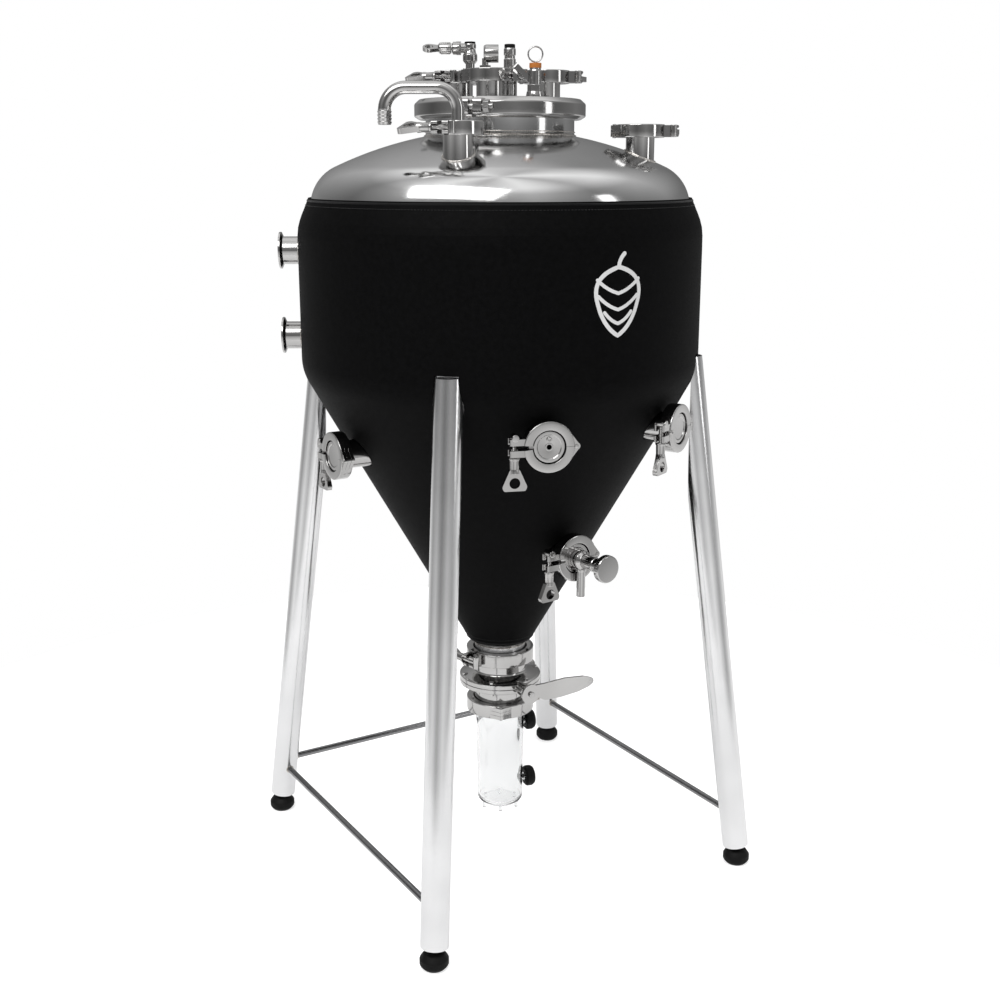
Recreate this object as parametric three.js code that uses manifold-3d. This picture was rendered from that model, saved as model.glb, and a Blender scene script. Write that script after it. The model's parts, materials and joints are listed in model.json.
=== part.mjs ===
// A jacketed conical fermenter on four splayed legs: a welded stainless vessel with a dished head, a
// clamped lid, sanitary clamp ports, a sample valve, a dump valve with a clear collection jar, and a
// neoprene cover. Millimetres, +Z up, front towards -Y, origin on the floor under the vessel's axis.
// Azimuths are degrees from the front (-Y), positive towards +X.
import * as THREE from 'three';
import { mergeVertices } from 'three/addons/utils/BufferGeometryUtils.js';
import Module from 'manifold-3d';

const wasm = await Module();
wasm.setup();

// ---------------------------------------------------------------------------------------------
// Driving dimensions
// ---------------------------------------------------------------------------------------------
const SHELL_SEGMENTS = 24;          // facets round the vessel
const FITTING_SEGMENTS = 12;        // facets round a ferrule, cap or clamp
const VALVE_SEGMENTS = 16;          // facets round the dump valve
const ROD_SEGMENTS = 8;             // facets round a stem, bolt or bar
const FIT_GAP = 0.3;                // clearance between pieces that bear on each other

const FOOT_CIRCLE_R = 365;          // leg axis radius at FOOT_DATUM_Z
const FOOT_DATUM_Z = 14;
const LEG_LEAN = 0.1312;            // inward travel of a leg axis per millimetre of height
const LEG_R = 19.05;                // 1.5 inch tube
const LEG_BORE_R = 17.4;
const LEG_BOTTOM_Z = 26;
const LEG_TOP_Z = 761;
const LEG_PLUG_TOP_Z = 62;
const STUD_R = 5;
const STUD_TOP_Z = 46;
const LEG_AZIMUTHS = { front_left: -45, front_right: 45, back_right: 135, back_left: -135 };
const STRETCHER_R = 4.8;
const STRETCHER_Z = { left: 76, back: 88, right: 78 };
const FOOT_R = 19;
const FOOT_H = 24;

const WALL = 2;                     // vessel sheet thickness as modelled
const TANK_R = 261;                 // outside of the inner shell
const HEAD_CROWN_R = 536;           // dished head, crown radius outside
const HEAD_KNUCKLE_R = 60;
const HEAD_TANGENT_Z = 958.4;
const NECK_R = 101.6;               // 8 inch neck
const NECK_BORE_R = 99.6;
const NECK_FLANGE_R = 108.5;
const NECK_FACE_Z = 1091;
const LID_BOTTOM_Z = 1093.6;
const LID_TOP_Z = 1100.5;
const LID_CLAMP_TURN = -48.4;       // azimuth of the lid clamp's bolt
const LID_CLAMP_R = 117;
const LID_BOLT_R = 124;             // distance of the bolt from the vessel's axis
const LID_BOLT_Z = 1088;
const WALL_BOTTOM_Z = 731;
const CONE_SLOPE = 0.5687;          // radius per millimetre of height, 29.6 degree half angle
const CONE_REF_Z = 342.2;
const CONE_REF_R = 49.1;            // outside of the steel cone at CONE_REF_Z

const COOLING_R = 274.1;            // outside of the cooling jacket
const COOLING_WALL = 1.5;
const COVER_R = 279.8;              // outside of the neoprene cover
const COVER_INNER_R = 274.45;
const COVER_OFFSET_ON_CONE = 6.1;   // cover outside, measured along the radius from the steel cone
const COVER_BOTTOM_Z = 329;
const COVER_TOP_Z = 972;

const PORT = { tubeR: 19.05, boreR: 17.3, flangeR: 25.25, rim: 3.2, taper: 5.8 };       // 1.5 inch
const DUMP = { tubeR: 38.1, boreR: 36.5, flangeR: 45.5, rim: 3.4, taper: 6.6 };          // 3 inch
const CAP_TOP = 6.4;                // height of a blank cap over the mating plane
const PORT_CLAMP = { outerR: 32.5, half: 8.5, lugAt: 43, lugEnd: 52, boltR: 3.2 };
const DUMP_CLAMP = { outerR: 50.5, half: 10, lugAt: 60, lugEnd: 68, boltR: 3.6 };

const LID_TURN = -31.4;             // clocking of the lid and the head fittings about the axis
const LID_PORT_FACE_Z = 1132.5;
const HEAD_PORT_FACE_Z = 1059;
const GAUGE_PORT = [-13, -6];       // lid fittings, in the clocked lid frame
const GAS_PORT = [-57, 50];
const BLANK_PORT = [64, 32];
const GAS_POST = [13.5, 40];
const RELIEF_VALVE = [46, -75];
const GAUGE_Z = 28;                 // height of the dial's centre over its port's face
const GAS_COCK_Z = 39.5;
const CANE_PORT = [-51.6, -186];    // head fittings, in the same clocked frame
const HEAD_BLANK_PORT = [187.6, -45.4];

const THERMOWELL_PORT = { azimuth: -18.9, faceR: 276, z: 676.4 };
const CONE_BLANK_PORT = { azimuth: 26.3, faceR: 276, z: 675.6 };
const SIDE_BLANK_PORT = { azimuth: -90, faceR: 257.5, z: 635 };
const SAMPLE_PORT = { azimuth: 4.3, faceR: 174, z: 494 };
const CONE_PORTS = [THERMOWELL_PORT, CONE_BLANK_PORT, SIDE_BLANK_PORT, SAMPLE_PORT];
const CONE_PORT_LENGTH = 62;        // length of a cone port's tube before it is trimmed inside
const COOLANT_PORTS = [{ azimuth: -120, faceR: 307, z: 900 }, { azimuth: -120, faceR: 307, z: 782 }];

const DUMP_FACE_Z = 304;
const DUMP_OUTLET_Z = 224;
const DUMP_VALVE_MID = (DUMP_FACE_Z - DUMP_OUTLET_Z) / 2;
const DUMP_VALVE_R = 61;
const DUMP_VALVE_HALF = 8;
const DUMP_STEM_R = 4.4;
const DUMP_BOSS_END = 82;           // end of the stem boss, from the flow axis
const JAR_TOP_R = 36.5;
const JAR_BOTTOM_R = 34;
const JAR_WALL = 3;
const JAR_BOTTOM_Z = 60;
const JAR_FOOT_H = 7;
const JAR_KNOBS = { jar_knob_upper: 186, jar_knob_lower: 91 };
const JAR_KNOB_AZIMUTH = 78;

// ---------------------------------------------------------------------------------------------
// Materials
// ---------------------------------------------------------------------------------------------
function material(color, roughness, metalness) {
  return new THREE.MeshStandardMaterial({ color, roughness, metalness });
}
const FINISH = {
  polished: () => material(0xc9ccd0, 0.12, 1),
  brushed: () => material(0xb4b7bb, 0.35, 1),
  neoprene: () => material(0x141414, 0.85, 0),
  rubber: () => material(0x0d0d0d, 0.7, 0),
  silicone: () => material(0xe8e8e4, 0.6, 0),
  clear: () => material(0xe9f1f3, 0.05, 0),
  red: () => material(0xb02a1c, 0.5, 0),
};

// ---------------------------------------------------------------------------------------------
// Solid helpers
// ---------------------------------------------------------------------------------------------
const radians = THREE.MathUtils.degToRad;

// Turns a three.js geometry into a solid: shared corners merged, flat triangles dropped, facing out.
function solid(geometry) {
  const bare = geometry.index ? geometry.toNonIndexed() : geometry.clone();
  bare.deleteAttribute('normal');
  bare.deleteAttribute('uv');
  const merged = mergeVertices(bare, 1e-3);
  const position = merged.attributes.position;
  const index = merged.index.array;
  const kept = [];
  let volume = 0;
  const [a, b, c] = [new THREE.Vector3(), new THREE.Vector3(), new THREE.Vector3()];
  for (let i = 0; i < index.length; i += 3) {
    const [p, q, r] = [index[i], index[i + 1], index[i + 2]];
    if (p === q || q === r || r === p) continue;
    a.fromBufferAttribute(position, p);
    b.fromBufferAttribute(position, q);
    c.fromBufferAttribute(position, r);
    volume += a.dot(b.cross(c));
    kept.push(p, q, r);
  }
  if (volume < 0) {
    for (let i = 0; i < kept.length; i += 3) [kept[i], kept[i + 1]] = [kept[i + 1], kept[i]];
  }
  return new wasm.Manifold(new wasm.Mesh({
    numProp: 3,
    vertProperties: Float32Array.from(position.array),
    triVerts: Uint32Array.from(kept),
  }));
}

const join = (...parts) => parts.reduce((all, part) => all.add(part));
// Corner radius of a faceted hole whose flats clear a round of radius r.
const around = (r, segments) => r / Math.cos(Math.PI / segments);
const cut = (body, ...tools) => tools.reduce((left, tool) => left.subtract(tool), body);

// A solid of revolution about +Z. The profile is a list of [radius, z]; azimuth 0 lies on -Y.
function revolve(profile, segments = FITTING_SEGMENTS) {
  const onAxis = profile[0][0] === 0 && profile[profile.length - 1][0] === 0;
  const points = (onAxis ? profile : [...profile, profile[0]]).map(([r, z]) => new THREE.Vector2(r, z));
  return new THREE.LatheGeometry(points, segments).rotateX(Math.PI / 2);
}

// A round bar between two points.
function bar(radius, from, to, segments = ROD_SEGMENTS) {
  const start = new THREE.Vector3(...from);
  const along = new THREE.Vector3(...to).sub(start);
  const geometry = new THREE.CylinderGeometry(radius, radius, along.length(), segments);
  const ownAxis = new THREE.Vector3(0, 1, 0);
  geometry.applyQuaternion(new THREE.Quaternion().setFromUnitVectors(ownAxis, along.clone().normalize()));
  return geometry.translate(...start.addScaledVector(along, 0.5).toArray());
}

// A box from its lowest to its highest corner.
function block(low, high) {
  const size = high.map((value, i) => value - low[i]);
  const centre = high.map((value, i) => (value + low[i]) / 2);
  return new THREE.BoxGeometry(...size).translate(...centre);
}

// A flat plate: an outline in the XY plane, centred on z = 0, with optional round holes.
function plate(outline, thickness, holes = []) {
  const points = outline.map(([x, y]) => new THREE.Vector2(x, y));
  const shape = new THREE.Shape(THREE.ShapeUtils.isClockWise(points) ? points.reverse() : points);
  for (const [x, y, r] of holes) {
    shape.holes.push(new THREE.Path().absarc(x, y, r, 0, 2 * Math.PI, true));
  }
  return new THREE.ExtrudeGeometry(shape, { depth: thickness, bevelEnabled: false, curveSegments: 5 })
    .translate(0, 0, -thickness / 2);
}

// A round bar swept along a path of straight runs and bends.
function sweep(radius, path, steps) {
  const section = new THREE.Shape().absarc(0, 0, radius, 0, 2 * Math.PI, false);
  const options = { steps, bevelEnabled: false, extrudePath: path, curveSegments: 5 };
  return new THREE.ExtrudeGeometry(section, options);
}

// Points on an arc, in degrees, for profiles and outlines.
function arc(cx, cy, radius, from, to, count) {
  return Array.from({ length: count + 1 }, (_, i) => {
    const angle = radians(from + ((to - from) * i) / count);
    return [cx + radius * Math.cos(angle), cy + radius * Math.sin(angle)];
  });
}

// ---------------------------------------------------------------------------------------------
// Placing
// ---------------------------------------------------------------------------------------------
const object = new THREE.Group();

function addNode(parent, name, body, finish) {
  const mesh = body.getMesh();
  const geometry = new THREE.BufferGeometry();
  geometry.setAttribute('position', new THREE.BufferAttribute(Float32Array.from(mesh.vertProperties), 3));
  geometry.setIndex(Array.from(mesh.triVerts));
  geometry.computeVertexNormals();
  const node = new THREE.Mesh(geometry, finish());
  node.name = name;
  parent.add(node);
  return node;
}

function addGroup(matrix) {
  const group = new THREE.Group();
  group.applyMatrix4(matrix);
  object.add(group);
  return group;
}

// Frame of a port in the vessel's side: local +Z points out along the radius, +Y up, and the origin
// is the centre of the ferrule's face.
function sidePort({ azimuth, faceR, z }) {
  const a = radians(azimuth);
  const out = new THREE.Vector3(Math.sin(a), -Math.cos(a), 0);
  const up = new THREE.Vector3(0, 0, 1);
  const across = new THREE.Vector3().crossVectors(up, out);
  const face = out.clone().multiplyScalar(faceR).setZ(z);
  return new THREE.Matrix4().makeBasis(across, up, out).setPosition(face);
}

// Frame of an upright port on the lid or the head, in the clocked frame: local +Z points up.
function uprightPort([x, y], z) {
  return new THREE.Matrix4().makeRotationZ(radians(LID_TURN))
    .multiply(new THREE.Matrix4().makeTranslation(x, y, z));
}

const placed = (geometry, matrix) => geometry.applyMatrix4(matrix);

// ---------------------------------------------------------------------------------------------
// Sanitary fittings, in a port's own frame
// ---------------------------------------------------------------------------------------------
const ferrule = (size, length) => revolve([
  [size.boreR, -FIT_GAP], [size.flangeR, -FIT_GAP], [size.flangeR, -size.rim],
  [size.tubeR, -size.taper], [size.tubeR, -length], [size.boreR, -length],
]);

// A short solid disc with a ferrule's edge: the base of every cap.
const capDisc = (size) => revolve([
  [0, FIT_GAP], [size.flangeR, FIT_GAP], [size.flangeR, size.rim], [size.tubeR, CAP_TOP], [0, CAP_TOP],
]);

// A clamp band with its hinge on -X and its split lugs on +X, turned about the port's axis.
function clampBand(size, clamp, turn) {
  const { outerR, half, lugAt, lugEnd, boltR } = clamp;
  const lip = size.tubeR + 2.4;
  const groove = around(size.flangeR + 0.4, FITTING_SEGMENTS);
  const outside = revolve([[0, -half], [outerR, -half], [outerR, half], [0, half]]);
  const hingeTip = outerR + 7;
  const hinge = plate([[-outerR * 0.6, outerR * 0.66], [-outerR - 3, 5.2], [-hingeTip, 2.6],
    [-hingeTip, -2.6], [-outerR - 3, -5.2], [-outerR * 0.6, -outerR * 0.66]], 2 * half - 2);
  const lugs = [1, -1].map((side) => block(
    [outerR - 8, side > 0 ? 3.2 : -13.2, 1 - half], [lugEnd, side > 0 ? 13.2 : -3.2, half - 1]));
  const inside = revolve([[0, -half - 1], [lip, -half - 1], [lip, -7], [groove, -3.8],
    [groove, 3.8], [lip, 7], [lip, half + 1], [0, half + 1]]);
  const split = block([lip - 4, -3, -half - 1], [outerR + 2, 3, half + 1]);
  const boltSlot = block([lugAt - boltR - 1.2, -14, -boltR - 0.8], [lugEnd + 1, 14, boltR + 0.8]);
  const body = join(solid(outside), solid(hinge), ...lugs.map(solid));
  return cut(body, solid(inside), solid(split), solid(boltSlot)).rotate([0, 0, turn]);
}

// The swing bolt with its eye nut. The nut points along the local +Y or -Y side of the lugs.
function eyeNut(clamp, side, startY = 13.5) {
  const x = clamp.lugAt;
  const bolt = bar(clamp.boltR, [x, -10 * side, 0], [x, 20 * side, 0], 6);
  const stem = bar(6.4, [x, startY * side, 0], [x, 33 * side, 0]);
  const outline = [[x - 6, 30], [x + 6, 30], ...arc(x + 9.5, 48, 7, -20, 90, 2),
    ...arc(x - 9.5, 48, 7, 90, 200, 2)];
  const eye = plate(outline.map(([px, py]) => [px, py * side]), 7, [[x, 44.5 * side, 6.8]]);
  return join(solid(bolt), solid(stem), solid(eye));
}

// A clamp and its eye nut, as two nodes. The nut may rest turned about its bolt.
function addClampWithNut(group, name, size, clamp, turn, side, nutRoll = 0) {
  addNode(group, `${name}_clamp`, clampBand(size, clamp, turn), FINISH.polished);
  const rolled = eyeNut(clamp, side)
    .translate([-clamp.lugAt, 0, 0]).rotate([0, nutRoll, 0]).translate([clamp.lugAt, 0, 0]);
  addNode(group, `${name}_clamp_nut`, rolled.rotate([0, 0, turn]), FINISH.polished);
}

// A clamp whose bolt and nut are tightened down on the lugs, as one node.
function addClosedClamp(group, name, size, clamp, turn, side) {
  const nut = eyeNut(clamp, side, 12.9).rotate([0, 0, turn]);
  addNode(group, `${name}_clamp`, join(clampBand(size, clamp, turn), nut), FINISH.polished);
}

// A cut through a shell for a port's bore, from inside the vessel to the ferrule's face.
const portBore = (size, length) => bar(size.boreR, [0, 0, -length], [0, 0, 1], FITTING_SEGMENTS);

// ---------------------------------------------------------------------------------------------
// Vessel
// ---------------------------------------------------------------------------------------------
// Half section of the dished head at a wall offset: crown arc, knuckle arc and the tangent line.
function headSection(offset, innermostR) {
  const crown = HEAD_CROWN_R - offset;
  const knuckle = HEAD_KNUCKLE_R - offset;
  const knuckleCentreR = TANK_R - HEAD_KNUCKLE_R;
  const centreGap = HEAD_CROWN_R - HEAD_KNUCKLE_R;
  const crownCentreZ = HEAD_TANGENT_Z - Math.sqrt(centreGap ** 2 - knuckleCentreR ** 2);
  const tangent = THREE.MathUtils.radToDeg(Math.acos(knuckleCentreR / centreGap));
  const start = THREE.MathUtils.radToDeg(Math.acos(innermostR / crown));
  return [
    ...arc(0, crownCentreZ, crown, start, tangent, 3),
    ...arc(knuckleCentreR, HEAD_TANGENT_Z, knuckle, tangent, 0, 4).slice(1),
  ];
}

function buildHead() {
  const outer = headSection(0, NECK_R + 4);
  const inner = headSection(WALL, NECK_BORE_R);
  const neck = [[NECK_BORE_R, NECK_FACE_Z], [NECK_FLANGE_R, NECK_FACE_Z], [NECK_FLANGE_R, NECK_FACE_Z - 4.4],
    [NECK_R, NECK_FACE_Z - 10], [NECK_R, outer[0][1] + 4.5]];
  const tubeLength = 48;
  let head = solid(revolve([...neck, ...outer, ...inner.reverse()], SHELL_SEGMENTS));
  for (const position of [CANE_PORT, HEAD_BLANK_PORT]) {
    const matrix = uprightPort(position, HEAD_PORT_FACE_Z);
    const tube = cut(solid(placed(ferrule(PORT, tubeLength), matrix)), solid(insideHead()));
    head = cut(join(head, tube), solid(placed(portBore(PORT, tubeLength + 12), matrix)));
  }
  return head;
}

// The space under the head, used to trim the port tubes flush with its inside.
const insideHead = () => revolve([
  [0, HEAD_TANGENT_Z - 40], [TANK_R - WALL, HEAD_TANGENT_Z - 40],
  ...headSection(WALL, 60).reverse(), [0, headSection(WALL, 60)[0][1]],
], SHELL_SEGMENTS);

const coneOutside = (z) => CONE_REF_R + (z - CONE_REF_Z) * CONE_SLOPE;
const coneZ = (r) => CONE_REF_Z + (r - CONE_REF_R) / CONE_SLOPE;

// Rounded corner between a vertical wall of radius r and a parallel to the cone through (r, z).
function coneKnuckle(r, z, radius, count) {
  const halfAngle = Math.atan(CONE_SLOPE);
  const tangent = radius * Math.tan(halfAngle / 2);
  const degrees = THREE.MathUtils.radToDeg(halfAngle);
  return arc(r - radius, z + tangent, radius, 0, -degrees, count);
}

function coneWallSection() {
  const wallAlongRadius = WALL * Math.sqrt(1 + CONE_SLOPE ** 2);
  const outer = coneKnuckle(TANK_R, coneZ(TANK_R), 60, 2);
  const inner = coneKnuckle(TANK_R - WALL, coneZ(TANK_R - WALL + wallAlongRadius), 58, 2);
  const spoutTopZ = coneZ(DUMP.tubeR);
  return { outer, inner, spoutTopZ, wallAlongRadius };
}

function insideCone() {
  const { inner, spoutTopZ, wallAlongRadius } = coneWallSection();
  return revolve([
    [0, WALL_BOTTOM_Z + 40], [TANK_R - WALL, WALL_BOTTOM_Z + 40], ...inner,
    [coneOutside(spoutTopZ) - wallAlongRadius, spoutTopZ], [0, spoutTopZ],
  ], SHELL_SEGMENTS);
}

function buildCone() {
  const { outer, inner, spoutTopZ, wallAlongRadius } = coneWallSection();
  const flange = DUMP_FACE_Z + FIT_GAP;
  let cone = solid(revolve([
    [TANK_R, WALL_BOTTOM_Z], ...outer, [DUMP.tubeR, spoutTopZ],
    [DUMP.tubeR, DUMP_FACE_Z + DUMP.taper],
    [DUMP.flangeR, DUMP_FACE_Z + DUMP.rim], [DUMP.flangeR, flange], [DUMP.boreR, flange],
    [DUMP.boreR, coneZ(DUMP.boreR + wallAlongRadius)],
    ...inner.reverse(), [TANK_R - WALL, WALL_BOTTOM_Z],
  ], SHELL_SEGMENTS));
  for (const port of CONE_PORTS) {
    const matrix = sidePort(port);
    const tube = cut(solid(placed(ferrule(PORT, CONE_PORT_LENGTH), matrix)), solid(insideCone()));
    cone = cut(join(cone, tube), solid(placed(portBore(PORT, CONE_PORT_LENGTH + 6), matrix)));
  }
  return cone;
}

function buildWall() {
  return solid(revolve([
    [TANK_R, HEAD_TANGENT_Z], [TANK_R, WALL_BOTTOM_Z],
    [TANK_R - WALL, WALL_BOTTOM_Z], [TANK_R - WALL, HEAD_TANGENT_Z],
  ], SHELL_SEGMENTS));
}

// The outer shell of the cooling jacket: a wide ring round the wall, closed on it at top and bottom,
// with two open ferrules for the coolant.
function buildCoolingJacket() {
  const skin = coneKnuckle(COOLING_R, coneZ(COOLING_R), 60, 2);
  const inside = coneKnuckle(COOLING_R - COOLING_WALL, coneZ(COOLING_R) + 0.2, 58.5, 2);
  let shell = solid(revolve([
    [TANK_R + 0.4, 962.5], [COOLING_R, 930], ...skin, [coneOutside(716), 716], [259.4, 712.6],
    ...inside.reverse(), [COOLING_R - COOLING_WALL, 929.6], [TANK_R + 0.4, 958.8],
  ], SHELL_SEGMENTS));
  const innerR = COOLING_R - COOLING_WALL;
  const core = solid(revolve([[0, 700], [innerR, 700], [innerR, 960], [0, 960]], SHELL_SEGMENTS));
  const tubeLength = 42;
  for (const port of COOLANT_PORTS) {
    const matrix = sidePort(port);
    const tube = cut(solid(placed(ferrule(PORT, tubeLength), matrix)), core);
    shell = cut(join(shell, tube), solid(placed(portBore(PORT, tubeLength), matrix)));
  }
  return shell;
}

// ---------------------------------------------------------------------------------------------
// Frame: legs, feet and stretchers
// ---------------------------------------------------------------------------------------------
const legAxisR = (z) => FOOT_CIRCLE_R - (z - FOOT_DATUM_Z) * LEG_LEAN;

function onLeg(azimuth, z) {
  const a = radians(azimuth);
  const r = legAxisR(z);
  return [r * Math.sin(a), -r * Math.cos(a), z];
}

function legSpace(azimuth, radius) {
  return bar(radius, onLeg(azimuth, -20), onLeg(azimuth, LEG_TOP_Z + 60), FITTING_SEGMENTS);
}

const above = (z) => block([-500, -500, z], [500, 500, z + 400]);
const below = (z) => block([-500, -500, z - 400], [500, 500, z]);

function buildLeg(azimuth) {
  const tube = cut(solid(legSpace(azimuth, LEG_R)), solid(above(LEG_TOP_Z)), solid(below(LEG_BOTTOM_Z)));
  const hollow = cut(solid(legSpace(azimuth, LEG_BORE_R)),
    solid(below(LEG_PLUG_TOP_Z)), solid(above(LEG_TOP_Z - 3)));
  const [x, y] = onLeg(azimuth, FOOT_DATUM_Z);
  const studHole = bar(STUD_R + 0.6, [x, y, 0], [x, y, STUD_TOP_Z + 10]);
  const clearR = COOLING_R + FIT_GAP;
  const vesselSpace = revolve([[0, 500], [clearR, 500], [clearR, 900], [0, 900]], SHELL_SEGMENTS);
  return cut(tube, hollow, solid(studHole), solid(vesselSpace));
}

function buildFoot(azimuth) {
  const [x, y] = onLeg(azimuth, FOOT_DATUM_Z);
  const pad = revolve([[0, 0], [FOOT_R - 2, 0], [FOOT_R, 2.5], [FOOT_R, 15], [FOOT_R - 4, FOOT_H - 2],
    [STUD_R, FOOT_H - 1], [STUD_R, STUD_TOP_Z], [0, STUD_TOP_Z]], 16);
  return solid(pad.translate(x, y, 0));
}

function buildStretcher(from, to, z) {
  const ends = [onLeg(from, z), onLeg(to, z)];
  return cut(solid(bar(STRETCHER_R, ends[0], ends[1])),
    solid(legSpace(from, LEG_R + 0.4)), solid(legSpace(to, LEG_R + 0.4)));
}

// ---------------------------------------------------------------------------------------------
// Neoprene cover
// ---------------------------------------------------------------------------------------------
function buildCover() {
  const coverCone = (z) => coneOutside(z) + COVER_OFFSET_ON_CONE;
  const outerCorner = CONE_REF_Z + (COVER_R - CONE_REF_R - COVER_OFFSET_ON_CONE) / CONE_SLOPE;
  const innerCorner = CONE_REF_Z + (COVER_INNER_R - CONE_REF_R - 0.4) / CONE_SLOPE;
  const cover = solid(revolve([
    [TANK_R + 0.5, COVER_TOP_Z], [TANK_R + 2, COVER_TOP_Z], [265.8, 966.4], [276.3, 941.5],
    [COVER_R, 923], ...coneKnuckle(COVER_R, outerCorner, 66, 2),
    [coverCone(COVER_BOTTOM_Z), COVER_BOTTOM_Z], [coneOutside(COVER_BOTTOM_Z) + 0.4, COVER_BOTTOM_Z],
    ...coneKnuckle(COVER_INNER_R, innerCorner, 60.4, 2).reverse(), [COVER_INNER_R, 930.3],
    [TANK_R + 0.75, 963.4],
  ], SHELL_SEGMENTS));
  const holes = [...CONE_PORTS, ...COOLANT_PORTS]
    .map((port) => placed(bar(PORT.tubeR + 1.2, [0, 0, -70], [0, 0, 40], FITTING_SEGMENTS), sidePort(port)));
  const legHoles = Object.values(LEG_AZIMUTHS).map((azimuth) => legSpace(azimuth, LEG_R + 0.9));
  const trimmed = legHoles.map((space) => cut(solid(space), solid(above(LEG_TOP_Z + 0.8))));
  return cut(cover, ...holes.map(solid), ...trimmed);
}

// ---------------------------------------------------------------------------------------------
// Lid and its fittings
// ---------------------------------------------------------------------------------------------
function buildLid() {
  let lid = solid(revolve([
    [0, LID_TOP_Z - 4], [92, LID_TOP_Z - 4], [95, LID_BOTTOM_Z], [NECK_FLANGE_R, LID_BOTTOM_Z],
    [NECK_FLANGE_R, 1096], [101, LID_TOP_Z], [0, LID_TOP_Z],
  ], SHELL_SEGMENTS));
  for (const position of [GAUGE_PORT, GAS_PORT, BLANK_PORT]) {
    const matrix = uprightPort(position, LID_PORT_FACE_Z);
    const tube = solid(placed(ferrule(PORT, LID_PORT_FACE_Z - LID_TOP_Z + 1), matrix));
    lid = cut(join(lid, tube), solid(placed(portBore(PORT, 42), matrix)));
  }
  for (const [position, flangeR] of [[GAS_POST, 19], [RELIEF_VALVE, 12]]) {
    const boss = revolve([[0, -1], [flangeR, -1], [flangeR, 1.6], [11, 2.4], [11, 7.7], [0, 7.7]], 16);
    const bore = bar(3.6, [0, 0, -8], [0, 0, 9]);
    const matrix = uprightPort(position, LID_TOP_Z);
    lid = cut(join(lid, solid(placed(boss, matrix))), solid(placed(bore, matrix)));
  }
  return lid;
}

function buildLidClamp() {
  const [bottom, top] = [LID_BOLT_Z - 13.5, LID_BOLT_Z + 13];
  const outer = revolve([[0, bottom], [110, bottom], [LID_CLAMP_R, bottom + 4], [LID_CLAMP_R, top - 6],
    [110, top], [0, top]], SHELL_SEGMENTS);
  const groove = around(NECK_FLANGE_R + 0.4, SHELL_SEGMENTS);
  const inner = revolve([[0, bottom - 5], [103.6, bottom - 5], [103.6, 1079.6], [groove, 1085.6],
    [groove, 1096.4], [105.2, 1099.1], [105.2, top + 5], [0, top + 5]], SHELL_SEGMENTS);
  const lugs = [[-15, -3.4], [3.4, 15]].map(([x0, x1]) => block(
    [x0, -131, LID_BOLT_Z - 10], [x1, -112, LID_BOLT_Z + 10]));
  const split = block([-2.8, -122, bottom - 5], [2.8, -98, top + 5]);
  const boltHole = bar(4.6, [-20, -LID_BOLT_R, LID_BOLT_Z], [20, -LID_BOLT_R, LID_BOLT_Z]);
  const hinge = block([-9, 113, LID_BOLT_Z - 10], [9, 124, LID_BOLT_Z + 10]);
  const body = join(solid(outer), ...lugs.map(solid), solid(hinge));
  return cut(body, solid(inner), solid(split), solid(boltHole)).rotate([0, 0, LID_CLAMP_TURN]);
}

function buildLidClampBolt() {
  const along = (x) => [x, -LID_BOLT_R, LID_BOLT_Z];
  const shank = bar(4, along(-17), along(22));
  const head = bar(8, along(-24), along(-15.3), 6);
  const nut = bar(8, along(15.3), along(25), 6);
  return join(solid(shank), solid(head), solid(nut)).rotate([0, 0, LID_CLAMP_TURN]);
}

// Pressure gauge: an upright stem with a small dial that faces along the local +X.
function buildGauge() {
  const stem = bar(5.4, [-7, 0, 6.7], [-7, 0, GAUGE_Z - 6]);
  const caseBody = bar(11.6, [-9, 0, GAUGE_Z], [11, 0, GAUGE_Z], 20);
  const recess = bar(10.2, [8.6, 0, GAUGE_Z], [12, 0, GAUGE_Z], 20);
  const pin = bar(1, [8, 0, GAUGE_Z], [9.2, 0, GAUGE_Z], 8);
  return join(cut(join(solid(stem), solid(caseBody)), solid(recess)), solid(pin));
}

// The needle rests at the lower left of the dial, at zero.
function buildNeedle() {
  const upright = block([9.4, -1, -2], [10, 1, 8.5]);
  return solid(upright.rotateX(radians(135)).translate(0, 0, GAUGE_Z));
}

// Cap of the gas port: an offset quick-connect post with a side cock.
function buildGasCap() {
  const postX = 15.5;
  const post = revolve([[0, 19], [5, 18.6], [10, 23], [10, 31], [8.4, 34], [8.4, 44.5], [7.7, 45.5],
    [7.7, 48], [0, 48]], 16).translate(postX, 0, 0);
  const stub = bar(5.2, [postX, 0, 5], [postX, 0, 22]);
  const cock = bar(6.6, [-10, 0, GAS_COCK_Z], [12, 0, GAS_COCK_Z]);
  const collar = bar(8.6, [-8, 0, GAS_COCK_Z], [2, 0, GAS_COCK_Z], 10);
  const socket = bar(3.6, [-20, 0, GAS_COCK_Z], [-3, 0, GAS_COCK_Z]);
  const body = join(solid(capDisc(PORT)), solid(stub), solid(post), solid(cock), solid(collar));
  return cut(body, solid(socket));
}

// Turning handle of the gas cock: a stem, a knurled barrel and a tilted open eye, along the local -X.
function buildGasCockHandle() {
  const stem = bar(3.2, [-18, 0, 0], [-4, 0, 0]);
  const barrel = bar(7.6, [-27, 0, 0], [-10.4, 0, 0], 10);
  const outline = [...arc(-41, 0, 9.4, 75, 285, 6), [-26, -6], [-26, 6]];
  const eye = plate(outline, 5, [[-41, 0, 5.6]]).rotateX(radians(28));
  return join(solid(stem), solid(barrel), solid(eye)).translate([0, 0, GAS_COCK_Z]);
}

const buildGasPost = () => solid(revolve([
  [0, 8], [10, 8], [10, 41], [8.2, 43], [8.2, 72], [7.6, 73], [7.6, 76], [0, 76],
], 16));

function buildReliefBody() {
  const body = revolve([[0, 8], [8, 8], [8, 34], [7.2, 36], [7.9, 36.8], [7.9, 43], [0, 43]], 16);
  return cut(solid(body), solid(bar(2.4, [0, 0, 31], [0, 0, 45])));
}

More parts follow.
